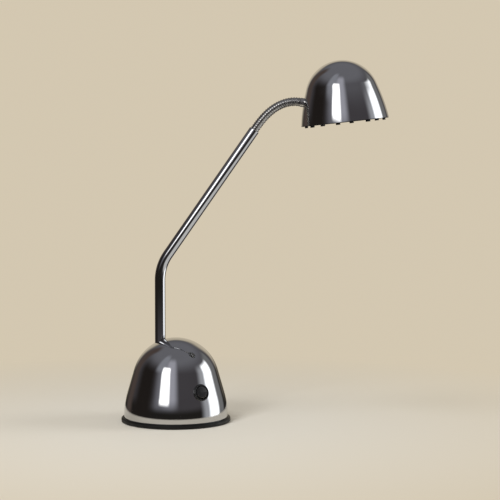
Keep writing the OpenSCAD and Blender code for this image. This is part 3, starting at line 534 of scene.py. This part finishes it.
def finish(name):
    """Looks a finish up, and mixes it the first time that it is asked for."""
    if name in FINISHES:
        return FINISHES[name]
    tints = bpy.context.scene.lamp_finish
    mixes = {
        "chrome": lambda: chrome("bright_chrome", tints.chrome),
        "wire": lambda: metal("wound_wire", tints.wire, 0.16, 0.34, 300, 0.12, bump=0.1),
        "zinc": lambda: metal("zinc_plate", tints.zinc, 0.28, 0.45, 90, 0.1, bump=0.08),
        "rubber": lambda: moulded("foot_rubber", tints.rubber, 0.42, 0.62, 1400, 0.35, 0.00005, shine=0.25),
        "plastic": lambda: moulded("black_plastic", tints.plastic, 0.22, 0.34, 1100, 0.15, 0.00002),
        "iron": lambda: moulded("cast_iron", (0.035, 0.035, 0.037), 0.5, 0.75, 700, 0.6, 0.00015),
        "core": lambda: lined(
            "core_sheets", "Y", 1000 / pi, (0.025, 0.018, 0.012), (0.10, 0.085, 0.07), wander=0.3, start=0.2,
            metallic=0.4, cell=300, low=0.3, high=0.5, bump=0.4, depth=0.0001),
        # the dark bands between the coil's turns are painted shade in the grooves between the wires
        "copper": lambda: lined(
            "copper_winding", "Z", 380, (0.10, 0.025, 0.012), (0.50, 0.17, 0.08), wander=0.4, start=0.1,
            metallic=0.7, cell=400, low=0.2, high=0.35, bump=0.6, depth=0.0002),
        "nylon": lambda: moulded("natural_nylon", (0.72, 0.69, 0.60), 0.4, 0.55, 800, 0.2),
        "white_nylon": lambda: moulded("bearing_nylon", (0.78, 0.77, 0.73), 0.35, 0.5, 800, 0.2),
        "brass": lambda: metal("terminal_brass", (0.55, 0.38, 0.14), 0.2, 0.35, 120, 0.1),
        "lead": lambda: moulded("lead_jacket", (0.012, 0.012, 0.012), 0.4, 0.55, 1200, 0.2),
        "reflector": lambda: metal("bright_aluminium", (0.80, 0.81, 0.82), 0.08, 0.16, 120, 0.03, bump=0.1),
        "ceramic": lambda: moulded("glazed_ceramic", (0.74, 0.72, 0.66), 0.12, 0.3, 500, 0.1, coat=0.4),
        "clear": lambda: clear("capsule_glass", (0.96, 0.97, 0.98), 0.0, 0.03),
        "front": lambda: clear("frosted_glass", (0.86, 0.88, 0.89), 0.25, 0.4, True),
        "tungsten": lambda: metal("tungsten_wire", (0.2, 0.2, 0.21), 0.4, 0.55, 2000, 0.1),
    }
    FINISHES[name] = mixes[name]()
    return FINISHES[name]


# ---- Base ----

class LAMP_OT_dome(Operator):
    """Spins the chrome dome and cuts its holes"""
    bl_idname = "lamp.dome"
    bl_label = "Base dome"

    def execute(self, context):
        s, switch, arm = context.scene.lamp_base, context.scene.lamp_switch, context.scene.lamp_arm
        bell = dome_bell(s)
        bm = bmesh.new()
        lift = Matrix.Translation((0, 0, s.band_z))
        foot, inner_foot = bell.draw(bm), bell.draw(bm, s.wall)
        drop, chamfer = s.ring_floor - s.band_z, 0.3 * MM
        for x, z in ((s.foot_r, drop + chamfer), (s.foot_r - chamfer, drop),
                     (s.foot_r - s.wall + chamfer, drop), (s.foot_r - s.wall, drop + chamfer)):
            foot = line(bm, foot, x, z)
        bm.edges.new((foot, inner_foot))
        turned(bm, 192)
        at_tube = Matrix.Translation((arm.across, 0, s.top_z))
        at_switch = on_dome(s, switch.height, switch.direction)
        at_gland = on_dome(s, switch.gland_height, switch.gland_direction)
        piece = cut(piece_from("chrome_dome", bm, lift),
                    self.drill("tube_hole", arm.tube_r + 0.4 * MM, 60 * MM, at_tube),
                    self.drill("switch_hole", switch.body_r + 0.1 * MM, 6 * MM, at_switch),
                    self.drill("gland_hole", switch.gland_thread_r + 0.1 * MM, 6 * MM, at_gland))
        fit_sheet(piece, bell, s.wall, lift)
        settle(piece, "base", "chrome", "chrome", "base_dome")
        return {"FINISHED"}

    def drill(self, name, r, half, place):
        bm = bmesh.new()
        rod(bm, r, -half, half, 96)
        return piece_from(name, bm, place)


class LAMP_OT_foot_ring(Operator):
    """Turns the rubber foot ring with its lip, grooves and tread"""
    bl_idname = "lamp.foot_ring"
    bl_label = "Foot ring"

    def execute(self, context):
        s = context.scene.lamp_base
        inner = s.foot_r - s.ring_lap
        bm = bmesh.new()
        groove, seat = 0.7 * MM, s.foot_r + 0.05 * MM
        path(bm, [(inner, 0), (inner + 1.2 * MM, 0), (inner + 1.7 * MM, groove), (inner + 2.6 * MM, groove),
                  (inner + 3.1 * MM, 0), (s.ring_r - 2.0 * MM, 0), (s.ring_r - 0.8 * MM, 0.35 * MM),
                  (s.ring_r, 1.2 * MM), (s.ring_r, s.ring_h - 1.4 * MM), (s.ring_r - 1.4 * MM, s.ring_h),
                  (seat, s.ring_h), (seat, s.ring_floor), (inner, s.ring_floor)])
        round_corners(bm, lambda at: at.z > s.ring_h - 2 * MM, 0.5 * MM, 4)
        turned(bm, 192)
        settle(piece_from("foot_ring_rubber", bm, sharper=40), "base", "black_rubber", "rubber", "foot_ring")
        return {"FINISHED"}


class LAMP_OT_switch(Operator):
    """Builds the round panel switch: bezel, body and rocker"""
    bl_idname = "lamp.switch"
    bl_label = "Switch"

    def execute(self, context):
        s = context.scene.lamp_switch
        place = on_dome(context.scene.lamp_base, s.height, s.direction)
        self.bezel(s, place)
        self.rocker(s, place)
        return {"FINISHED"}

    def bezel(self, s, place):
        cavity, cavity_z, back_z = s.rocker_r + 0.4 * MM, -7 * MM, -1.2 * MM
        bm = bmesh.new()
        path(bm, [(0, -s.depth), (s.body_r - 0.5 * MM, -s.depth), (s.body_r, -s.depth + 0.5 * MM),
                  (s.body_r, back_z), (s.bezel_r, back_z), (s.bezel_r, s.bezel_t - 0.9 * MM),
                  (s.bezel_r - 0.35 * MM, s.bezel_t - 0.25 * MM), (s.bezel_r - 1.0 * MM, s.bezel_t),
                  (cavity + 0.35 * MM, s.bezel_t - 0.1 * MM), (cavity, s.bezel_t - 0.5 * MM),
                  (cavity, cavity_z), (0, cavity_z)], closed=False)
        round_corners(bm, lambda at: at.z > 0 and at.x > cavity + 0.1 * MM, 0.3 * MM, 3)
        turned(bm, 96)
        settle(piece_from("switch_bezel", bm, place), "base", "black_plastic", "plastic", "switch_body")

    def rocker(self, s, place):
        """A ball cut to a flat underside and two slopes that meet in the middle."""
        pivot_z, mid_h, low = -1.2 * MM, 3.2 * MM, 2.5 * MM
        past = s.rocker_r + MM
        side_h = mid_h + past * tan(s.slope)
        bm = bmesh.new()
        bmesh.ops.create_uvsphere(bm, u_segments=96, v_segments=64, radius=s.rocker_r)
        ball = piece_from("rocker_ball", bm)
        bm = bmesh.new()
        path(bm, [(-past, -low), (past, -low), (past, side_h), (0, mid_h), (-past, side_h)])
        face = bmesh.ops.contextual_create(bm, geom=bm.edges[:])["faces"]
        bmesh.ops.translate(bm, verts=bm.verts, vec=(0, -s.rocker_r * 1.2, 0))
        swept = bmesh.ops.extrude_face_region(bm, geom=face)["geom"]
        bmesh.ops.translate(bm, verts=only(swept, bmesh.types.BMVert), vec=(0, s.rocker_r * 2.4, 0))
        bmesh.ops.recalc_face_normals(bm, faces=bm.faces)
        cut(ball, piece_from("rocker_form", bm), operation="INTERSECT")
        bm = bmesh.new()
        bm.from_mesh(ball.data)
        bpy.data.objects.remove(ball)
        bmesh.ops.dissolve_degenerate(bm, dist=1e-6, edges=bm.edges)
        soften(bm, 0.3 * MM, 3, 35)
        tilt = place @ Matrix.Translation((0, 0, pivot_z)) @ Matrix.Rotation(-s.slope, 4, "Y")
        settle(piece_from("rocker_cap", bm, tilt, sharper=50), "rocker", "black_plastic", "plastic",
               "switch_rocker")


class LAMP_OT_cord_gland(Operator):
    """Turns the cord gland at the back of the base"""
    bl_idname = "lamp.cord_gland"
    bl_label = "Cord gland"

    def execute(self, context):
        s = context.scene.lamp_switch
        place = on_dome(context.scene.lamp_base, s.gland_height, s.gland_direction)
        bore, thread, flange = s.gland_bore_r, s.gland_thread_r, s.gland_flange_r
        end_z, back_z = -12 * MM, -0.4 * MM
        bm = bmesh.new()
        path(bm, [(bore, end_z), (thread, end_z), (thread, back_z), (flange, back_z), (flange, 2 * MM),
                  (flange - 0.9 * MM, 2.9 * MM), (bore + 1.2 * MM, 3 * MM), (bore + 0.4 * MM, 2.7 * MM),
                  (bore, 2 * MM)])
        round_corners(bm, lambda at: at.z > 0.5 * MM and at.x > bore + 0.1 * MM, 0.3 * MM, 3)
        turned(bm, 96)
        settle(piece_from("gland_flange", bm, place), "base", "black_plastic", "plastic", "cord_gland")
        return {"FINISHED"}


# ---- Arm and neck ----

class LAMP_OT_tube(Operator):
    """Bends the chrome tube and drills the hole for its lead"""
    bl_idname = "lamp.tube"
    bl_label = "Arm tube"

    def execute(self, context):
        s = context.scene.lamp_arm
        run = s.bend_r * tan(s.lean / 2)
        bm = bmesh.new()
        foot = Matrix.Translation((s.across, 0, s.foot_z))
        bmesh.ops.create_circle(bm, cap_ends=False, segments=96, radius=s.tube_r, matrix=foot)
        inner = bmesh.ops.extrude_edge_only(bm, edges=bm.edges[:])["geom"]
        thinner = s.bore_r / s.tube_r
        bmesh.ops.scale(bm, verts=only(inner, bmesh.types.BMVert), vec=(thinner, thinner, 1),
                        space=foot.inverted())
        section = self.drawn_on(bm, bm.faces[:], Vector((0, 0, s.corner_z - run - s.foot_z)))
        section = bmesh.ops.spin(bm, geom=section, axis=(0, 1, 0), angle=s.lean, steps=40,
                                 cent=(s.across + s.bend_r, 0, s.corner_z - run))["geom_last"]
        self.drawn_on(bm, section, (s.slant - run) * Vector((sin(s.lean), 0, cos(s.lean))))
        bmesh.ops.recalc_face_normals(bm, faces=bm.faces)
        ends = [e for e in bm.edges if len(e.link_faces) == 2 and e.calc_face_angle(0) > radians(60)]
        bmesh.ops.bevel(bm, geom=ends, offset=0.35 * MM, offset_type="OFFSET", affect="EDGES", segments=3,
                        profile=0.5, material=-1)
        piece = piece_from("chrome_tube", bm)
        drill = bmesh.new()
        rod(drill, s.lead_r + 0.4 * MM, 0, 2 * s.tube_r)
        place = Matrix.Translation((s.across, 0, s.lead_z)) @ Matrix.Rotation(pi / 2, 4, "Y")
        cut(piece, piece_from("lead_hole", drill, place))
        piece.data.shade_smooth()
        piece.data.set_sharp_from_angle(angle=radians(35))
        settle(piece, "arm", "chrome", "chrome", "arm_tube")
        return {"FINISHED"}

    def drawn_on(self, bm, section, step):
        """Draws the tube's ring on in a straight line, and gives its new end."""
        made = bmesh.ops.extrude_face_region(bm, geom=section)["geom"]
        bmesh.ops.translate(bm, verts=only(made, bmesh.types.BMVert), vec=step)
        return made


class LAMP_OT_neck(Operator):
    """Lays the flexible neck: twelve stretches of wound wire, each with a ball in the next one's socket"""
    bl_idname = "lamp.neck"
    bl_label = "Wound neck"

    def execute(self, context):
        scene = context.scene
        curve = NeckLine(scene)
        lead_end = curve.link_len / 2 - 0.4 * MM
        for i in range(1, LINKS + 1):
            body = "arm" if i == 1 else "shade" if i == LINKS else f"neck_{i}"
            settle(piece_from(f"neck_winding_{i}", self.stretch(scene.lamp_neck, curve, i), sharper=60),
                   body, "matt_metal", "wire", f"neck_link_{i}")
            # the lead inside leaves room at each hinge for the bend
            bm = bmesh.new()
            rod(bm, scene.lamp_arm.lead_r, -lead_end, lead_end, 32)
            settle(piece_from(f"neck_lead_{i}", bm, curve.frame((i - 0.5) * curve.link_len)),
                   body, "lead_jacket", "lead")
        return {"FINISHED"}

    def stretch(self, s, curve, i):
        """A socket round the hinge below, some turns of wire, and a ball round the hinge above."""
        tall = curve.link_len
        pitch = tall / s.turns
        centre_r = s.outer_r - s.wire_r
        flank = acos((s.valley_r - centre_r) / s.wire_r)
        gap = pitch / 2 - s.wire_r * sin(flank)
        socket_r = hypot(s.valley_r, gap)
        play = crest = 0.06 * MM
        ball_r = socket_r - play
        bm = bmesh.new()
        if i == 1:
            first, vert = path(bm, [(s.bore_r, 0), (s.valley_r, 0), (s.valley_r, gap)], closed=False)
        else:
            rise = acos(s.bore_r / socket_r)
            first = bm.verts.new((s.bore_r, 0, socket_r * sin(rise)))
            vert = arc(bm, first, (0, 0), asin(gap / socket_r) - rise, 12)
        for k in range(s.turns):
            if k:
                vert = line(bm, vert, s.valley_r + crest, k * pitch)
                vert = line(bm, vert, s.valley_r, k * pitch + gap)
            vert = arc(bm, vert, (centre_r, (k + 0.5) * pitch), 2 * flank, 12)
        if i == LINKS:
            vert = line(bm, vert, s.valley_r, tall)
            vert = line(bm, vert, s.bore_r, tall)
        else:
            # the bore flares inside the ball, so that the lead clears it in a bend
            mouth_r = s.bore_r + 0.9 * MM
            vert = line(bm, vert, sqrt(ball_r ** 2 - gap ** 2), tall - gap)
            vert = arc(bm, vert, (0, tall), asin(gap / ball_r) + acos(mouth_r / ball_r), 12)
            vert = line(bm, vert, s.bore_r, tall)
        bm.edges.new((vert, first))
        turned(bm, 64)
        # the socket's half lies square to the hinge below, the ball's half square to the hinge above
        below, above = curve.frame((i - 1) * tall), curve.frame(i * tall)
        for v in bm.verts:
            in_socket = v.co.length < socket_r + 0.02 * MM
            share = 0 if in_socket else min(max((v.co.z - tall / 2) / (2 * gap) + 0.5, 0), 1)
            v.co = (below @ v.co).lerp(above @ (v.co - Vector((0, 0, tall))), share)
        return bm


class LAMP_OT_ferrule(Operator):
    """Turns the ferrule that carries the shade on the neck"""
    bl_idname = "lamp.ferrule"
    bl_label = "Ferrule"

    def execute(self, context):
        scene = context.scene
        shade, neck = scene.lamp_shade, scene.lamp_neck
        bm = bmesh.new()
        spigot_r, spigot_z, back_z, out = 5 * MM, -8.2 * MM, -0.3 * MM, shade.ferrule - 0.05 * MM
        path(bm, [(neck.bore_r, spigot_z), (spigot_r, spigot_z), (spigot_r, back_z), (neck.outer_r, back_z),
                  (neck.outer_r, out - 0.5 * MM), (neck.outer_r - 0.4 * MM, out), (neck.bore_r, out)])
        turned(bm, 96)
        settle(piece_from("neck_ferrule_sleeve", bm, entry_frame(scene)), "shade", "matt_metal",
               "wire", "neck_ferrule")
        return {"FINISHED"}


# ---- Shade ----

class LAMP_OT_shade(Operator):
    """Spins the chrome shade and drills the hole for the neck"""
    bl_idname = "lamp.shade"
    bl_label = "Shade"

    def execute(self, context):
        scene = context.scene
        s = scene.lamp_shade
        bell, place = shade_bell(s), shade_frame(scene)
        bm = bmesh.new()
        bm.edges.new((bell.draw(bm), bell.draw(bm, s.wall)))
        turned(bm, 192)
        piece = piece_from("chrome_shade", bm, place)
        drill = bmesh.new()
        hole_r, reach = 5.1 * MM, 4 * MM
        rod(drill, hole_r, -reach, reach, 96)
        cut(piece, piece_from("entry_hole", drill, entry_frame(scene)))
        fit_sheet(piece, bell, s.wall, place)
        settle(piece, "shade", "chrome", "chrome", "shade_shell")
        return {"FINISHED"}


class LAMP_OT_mouth(Operator):
    """Builds the glass ring with its lugs, the front glass and the reflector"""
    bl_idname = "lamp.mouth"
    bl_label = "Shade mouth"

    def execute(self, context):
        scene = context.scene
        s = scene.lamp_shade
        place = shade_frame(scene)
        self.ring(s, place)
        bm = bmesh.new()
        rod(bm, s.glass_r, 0, s.glass_t, 128)
        soften(bm, 0.3 * MM, 2)
        settle(piece_from("front_glass_disc", bm, place), "shade", "front_glass", "front", "front_glass")
        self.reflector(s, place)
        return {"FINISHED"}

    def ring(self, s, place):
        lip, bore, edge = 0.9 * MM, 50.5 * MM, s.rim_r - 0.4 * MM
        inner = s.glass_r + 0.3 * MM
        outer, top = inner + 1.6 * MM, s.glass_t + 2.3 * MM
        bm = bmesh.new()
        path(bm, [(bore, -lip + 0.2 * MM), (bore + 0.3 * MM, -lip), (edge - 0.3 * MM, -lip),
                  (edge, -lip + 0.3 * MM), (edge, 0), (outer, 0), (outer, top), (inner, top), (inner, 0),
                  (bore, 0)])
        turned(bm, 192)
        lug_t, lug_h, lug_w = 3.6 * MM, 2.3 * MM, 5.5 * MM
        for k in range(s.lugs):
            part = bmesh.new()
            block(part, (bore + 0.15 * MM, -lug_w / 2, -lip - lug_h),
                  (bore + lug_t, lug_w / 2, -lip + 0.3 * MM))
            soften(part, 0.35 * MM, 3)
            to_place = Matrix.Rotation(s.lug_turn + 2 * pi * k / s.lugs, 4, "Z")
            bmesh.ops.transform(part, matrix=to_place, verts=part.verts)
            lug = bpy.data.meshes.new("lug")
            part.to_mesh(lug)
            part.free()
            bm.from_mesh(lug)
            bpy.data.meshes.remove(lug)
        settle(piece_from("glass_ring_black", bm, place), "shade", "black_plastic", "plastic", "glass_ring")

    def reflector(self, s, place):
        """A paraboloid dish with a hole for the capsule, on a flat rim behind the glass."""
        vertex, mouth, hole, sheet = 46 * MM, 51 * MM, 13 * MM, 0.8 * MM
        low = s.glass_t + sheet
        high = vertex - (vertex - low) * (hole / mouth) ** 2

        def dish(h):
            return mouth * sqrt((vertex - h) / (vertex - low))

        heights = [low + (high - low) * (1 - (1 - k / 28) ** 2) for k in range(29)]
        bm = bmesh.new()
        path(bm, [(dish(h), h) for h in heights] + [(dish(h) + sheet, h) for h in reversed(heights)]
             + [(s.glass_r, low), (s.glass_r, s.glass_t), (mouth, s.glass_t)])
        turned(bm, 128)
        settle(piece_from("reflector_dish", bm, place), "shade", "reflector_metal", "reflector", "reflector")


# ---- Everything that stays as the frame has it ----

KEPT = {
    "zinc": ("base_plate", "ballast_screws", "dome_brackets", "dome_screws", "transformer_strap",
             "strap_screws", "terminal_screws", "foot_collar", "stop_pin", "neck_plug", "ferrule_washer",
             "ferrule_nut", "socket_bracket", "socket_screws", "capsule_pins"),
    "iron": ("ballast",), "core": ("transformer_core",), "copper": ("primary_coil", "secondary_coil"),
    "nylon": ("coil_former", "terminal_block"), "white_nylon": ("bearing_sleeve", "thrust_washer"),
    "brass": ("terminal_tubes", "switch_terminals"), "plastic": ("gland_nut",), "lead": ("arm_lead",),
    "ceramic": ("lamp_socket",), "clear": ("capsule_glass",), "tungsten": ("capsule_filament",),
}


class LAMP_OT_insides(Operator):
    """Gives every piece that keeps its frame shape its finish"""
    bl_idname = "lamp.insides"
    bl_label = "Inner pieces"

    def execute(self, context):
        for name, members in KEPT.items():
            for member in members:
                mesh = NODES[member].data
                mesh.materials.clear()
                mesh.materials.append(finish(name))
        return {"FINISHED"}


# ---- Stage ----

class LAMP_OT_stage(Operator):
    """Sets the floor, the studio, the lights and the camera"""
    bl_idname = "lamp.stage"
    bl_label = "Stage"

    def execute(self, context):
        scene = context.scene
        self.floor(scene)
        self.studio(scene)
        self.lights(scene)
        self.camera(scene)
        return {"FINISHED"}

    def floor(self, scene):
        s = scene.lamp_stage
        bm = bmesh.new()
        bmesh.ops.create_circle(bm, cap_ends=True, segments=96, radius=30.0)
        floor = piece_from("floor", bm)
        made, tree, shader = new_finish("pale_floor")
        shader.inputs["Base Color"].default_value = (*s.floor, 1)
        shader.inputs["Roughness"].default_value = 0.75
        shader.inputs["Specular IOR Level"].default_value = 0.15
        # the gradient falls from one at the lamp to nothing at fade_r
        fade_r = 1 / 1.4
        place = node(tree, "ShaderNodeMapping", Scale=(1 / fade_r,) * 3)
        fade = node(tree, "ShaderNodeTexGradient", gradient_type="SPHERICAL")
        tree.links.new(tree.nodes.new("ShaderNodeTexCoord").outputs["Object"], place.inputs["Vector"])
        tree.links.new(place.outputs["Vector"], fade.inputs["Vector"])
        glossy = tree.nodes.new("ShaderNodeLightPath").outputs["Is Glossy Ray"]
        near = node(tree, "ShaderNodeMix", data_type="FLOAT")
        tree.links.new(glossy, near.inputs[0])
        tree.links.new(spread(tree, fade.outputs["Fac"], 0.0, 1.0, 0.05, 0.75), near.inputs[2])
        tree.links.new(spread(tree, fade.outputs["Fac"], 0.0, 1.0, 0.62, 0.74), near.inputs[3])
        # the eye sees the far floor as backdrop; the chrome looks past it into the studio
        plain = node(tree, "ShaderNodeEmission", Color=(*s.backdrop, 1), Strength=1.0).outputs["Emission"]
        nothing = tree.nodes.new("ShaderNodeBsdfTransparent").outputs["BSDF"]
        far = self.either(tree, glossy, plain, nothing)
        shown = self.either(tree, near.outputs[0], far, shader.outputs["BSDF"])
        # seen from below, the floor is clear
        below = tree.nodes.new("ShaderNodeNewGeometry").outputs["Backfacing"]
        shown = self.either(tree, below, shown, nothing)
        tree.links.new(shown, tree.nodes["Material Output"].inputs["Surface"])
        floor.data.materials.append(made)

    def either(self, tree, share, first, second):
        """One shader where the share is nought, the other where it is one."""
        made = tree.nodes.new("ShaderNodeMixShader")
        for socket, value in zip(made.inputs, (share, first, second)):
            tree.links.new(value, socket)
        return made.outputs["Shader"]

    def studio(self, scene):
        """A pale backdrop all round; chrome sees it behind the lamp, and a dark studio elsewhere."""
        s = scene.lamp_stage
        world = bpy.data.worlds.new("studio")
        world.use_nodes = True
        scene.world = world
        tree = world.node_tree
        tree.nodes.clear()
        out = tree.nodes.new("ShaderNodeOutputWorld")
        light = tree.nodes.new("ShaderNodeLightPath").outputs
        lean = node(tree, "ShaderNodeSeparateXYZ")
        tree.links.new(tree.nodes.new("ShaderNodeTexCoord").outputs["Generated"], lean.inputs["Vector"])
        rise = self.maths(tree, "ARCSINE", lean.outputs["Z"])
        back = self.maths(tree, "MULTIPLY", lean.outputs["Y"], -1.0)
        around = self.maths(tree, "ARCTAN2", lean.outputs["X"], back)
        shown = node(tree, "ShaderNodeRGB").outputs[0]
        shown.default_value = (*s.studio, 1)
        patches = (
            # azimuth from the camera side, half its width, height, half its height, soft edge, colour
            (0, 400, 90, 50, 20, (0.20, 0.20, 0.22)),       # ceiling
            (-26, 25, 32, 25, 13, (0.24, 0.24, 0.27)),      # wide glow round the window
            (0, 400, -2, 8, 5, (0.022, 0.020, 0.018)),      # dark line of the horizon
            (-82, 26, 6, 28, 14, (0.022, 0.018, 0.016)),    # dark left wall
            (-130, 12, 24, 32, 8, (0.10, 0.075, 0.065)),    # brown far left
            (-176, 15, 8, 24, 6, s.backdrop),
            (180, 30, 18, 15, 9, s.backdrop),
            (-44, 14, 50, 22, 7, (0.34, 0.35, 0.39)),       # glow left of the window
            (-12, 15, 38, 24, 9, (0.50, 0.50, 0.56)),       # glow right of the window
            (-26, 11, 27, 12.5, 4, (3.5, 3.5, 3.5)),        # window
            (60, 38, -38, 23, 3, (0.76, 0.76, 0.74)),       # pale floor low on the right
            (124, 14, 14, 22, 6, (0.24, 0.24, 0.24)),       # grey right of the soft box
            (82, 14, 7, 24, 9, (0.50, 0.51, 0.54)),         # glow left of the soft box
            (100, 15, 5, 26, 5, (2.3, 2.35, 2.4)),          # soft box
        )
        for turn, wide, height, tall, edge, tint in patches:
            past = self.maths(tree, "SUBTRACT", around, radians(turn))
            aside = self.maths(tree, "ABSOLUTE", self.maths(tree, "WRAP", past, pi, -pi))
            above = self.maths(tree, "ABSOLUTE", self.maths(tree, "SUBTRACT", rise, radians(height)))
            mask = self.maths(tree, "MULTIPLY", self.inside(tree, aside, wide, edge),
                              self.inside(tree, above, tall, edge))
            shown = self.mixed(tree, mask, shown, (*tint, 1))
        shown = self.mixed(tree, light["Is Glossy Ray"], (*s.backdrop, 1), shown)
        seen = self.maths(tree, "MAXIMUM", light["Is Glossy Ray"], light["Is Transmission Ray"])
        seen = self.maths(tree, "MAXIMUM", light["Is Camera Ray"], seen)
        shine = tree.nodes.new("ShaderNodeBackground")
        tree.links.new(shown, shine.inputs["Color"])
        tree.links.new(spread(tree, seen, 0.55, 1.0, 0.0, 1.0), shine.inputs["Strength"])
        tree.links.new(shine.outputs["Background"], out.inputs["Surface"])

    def maths(self, tree, kind, *values):
        made = node(tree, "ShaderNodeMath", operation=kind)
        for socket, value in zip(made.inputs, values):
            if isinstance(value, (int, float)):
                socket.default_value = value
            else:
                tree.links.new(value, socket)
        return made.outputs[0]

    def inside(self, tree, value, half, soft):
        """One inside a half width and none outside it, with a soft edge; both are in degrees."""
        return spread(tree, value, 1.0, 0.0, radians(half - soft), radians(half + soft), "SMOOTHSTEP")

    def mixed(self, tree, share, *colours):
        made = node(tree, "ShaderNodeMix", data_type="RGBA")
        tree.links.new(share, made.inputs[0])
        for socket, value in zip((made.inputs[6], made.inputs[7]), colours):
            if isinstance(value, tuple):
                socket.default_value = value
            else:
                tree.links.new(value, socket)
        return made.outputs[2]

    def lights(self, scene):
        lamps = (
            # name, azimuth from the camera side, height, distance, width, tall, watts
            ("window_light", -27, 1.35, 2.4, 0.8, 0.8, 34),
            ("soft_box", 93, 0.75, 2.2, 1.3, 1.2, 24),
            ("top_light", -40, 2.4, 1.2, 0.9, 0.9, 22),
        )
        aim = Vector((0.05, 0, 0.2))
        for name, turn, height, far, wide, tall, watts in lamps:
            data = bpy.data.lights.new(name, "AREA")
            data.shape, data.size, data.size_y, data.energy = "RECTANGLE", wide, tall, watts
            lamp = bpy.data.objects.new(name, data)
            scene.collection.objects.link(lamp)
            at = Vector((sin(radians(turn)) * far, -cos(radians(turn)) * far, height))
            lamp.location = at
            lamp.rotation_euler = (aim - at).to_track_quat("-Z", "Y").to_euler()
            lamp.visible_camera = lamp.visible_glossy = False

    def camera(self, scene):
        lens, place, down = 126.3, (0.0994, -2.335, 0.392), 3.97
        data = bpy.data.cameras.new("camera")
        data.lens, data.sensor_width = lens, 36
        camera = bpy.data.objects.new("camera", data)
        camera.location = place
        camera.rotation_euler = (radians(90 - down), 0, 0)
        scene.collection.objects.link(camera)
        scene.camera = camera
        scene.view_settings.view_transform = "Standard"


class LAMP_PT_panel(Panel):
    """Lists the lamp's settings and the steps that build it"""
    bl_label = "Desk Lamp"
    bl_idname = "LAMP_PT_panel"
    bl_space_type = "VIEW_3D"
    bl_region_type = "UI"
    bl_category = "Desk Lamp"

    def draw(self, context):
        for name, group in GROUPS.items():
            box = self.layout.box()
            box.label(text=group.__name__.replace("Settings", ""))
            settings = getattr(context.scene, name)
            for key in group.__annotations__:
                box.prop(settings, key)
        for step in STEPS:
            self.layout.operator(step.bl_idname)


GROUPS = {"lamp_base": BaseSettings, "lamp_switch": SwitchSettings, "lamp_arm": ArmSettings,
          "lamp_neck": NeckSettings, "lamp_shade": ShadeSettings, "lamp_finish": FinishSettings,
          "lamp_stage": StageSettings}
STEPS = (LAMP_OT_dome, LAMP_OT_foot_ring, LAMP_OT_switch, LAMP_OT_cord_gland, LAMP_OT_tube, LAMP_OT_neck,
         LAMP_OT_ferrule, LAMP_OT_shade, LAMP_OT_mouth, LAMP_OT_insides, LAMP_OT_stage)


def register():
    for name, group in GROUPS.items():
        bpy.utils.register_class(group)
        setattr(bpy.types.Scene, name, PointerProperty(type=group))
    for step in STEPS:
        bpy.utils.register_class(step)
    bpy.utils.register_class(LAMP_PT_panel)


def unregister():
    bpy.utils.unregister_class(LAMP_PT_panel)
    for step in reversed(STEPS):
        bpy.utils.unregister_class(step)
    for name, group in reversed(GROUPS.items()):
        delattr(bpy.types.Scene, name)
        bpy.utils.unregister_class(group)


def main():
    register()
    for step in STEPS:
        family, name = step.bl_idname.split(".")
        getattr(getattr(bpy.ops, family), name)()


if __name__ == "__main__":
    main()
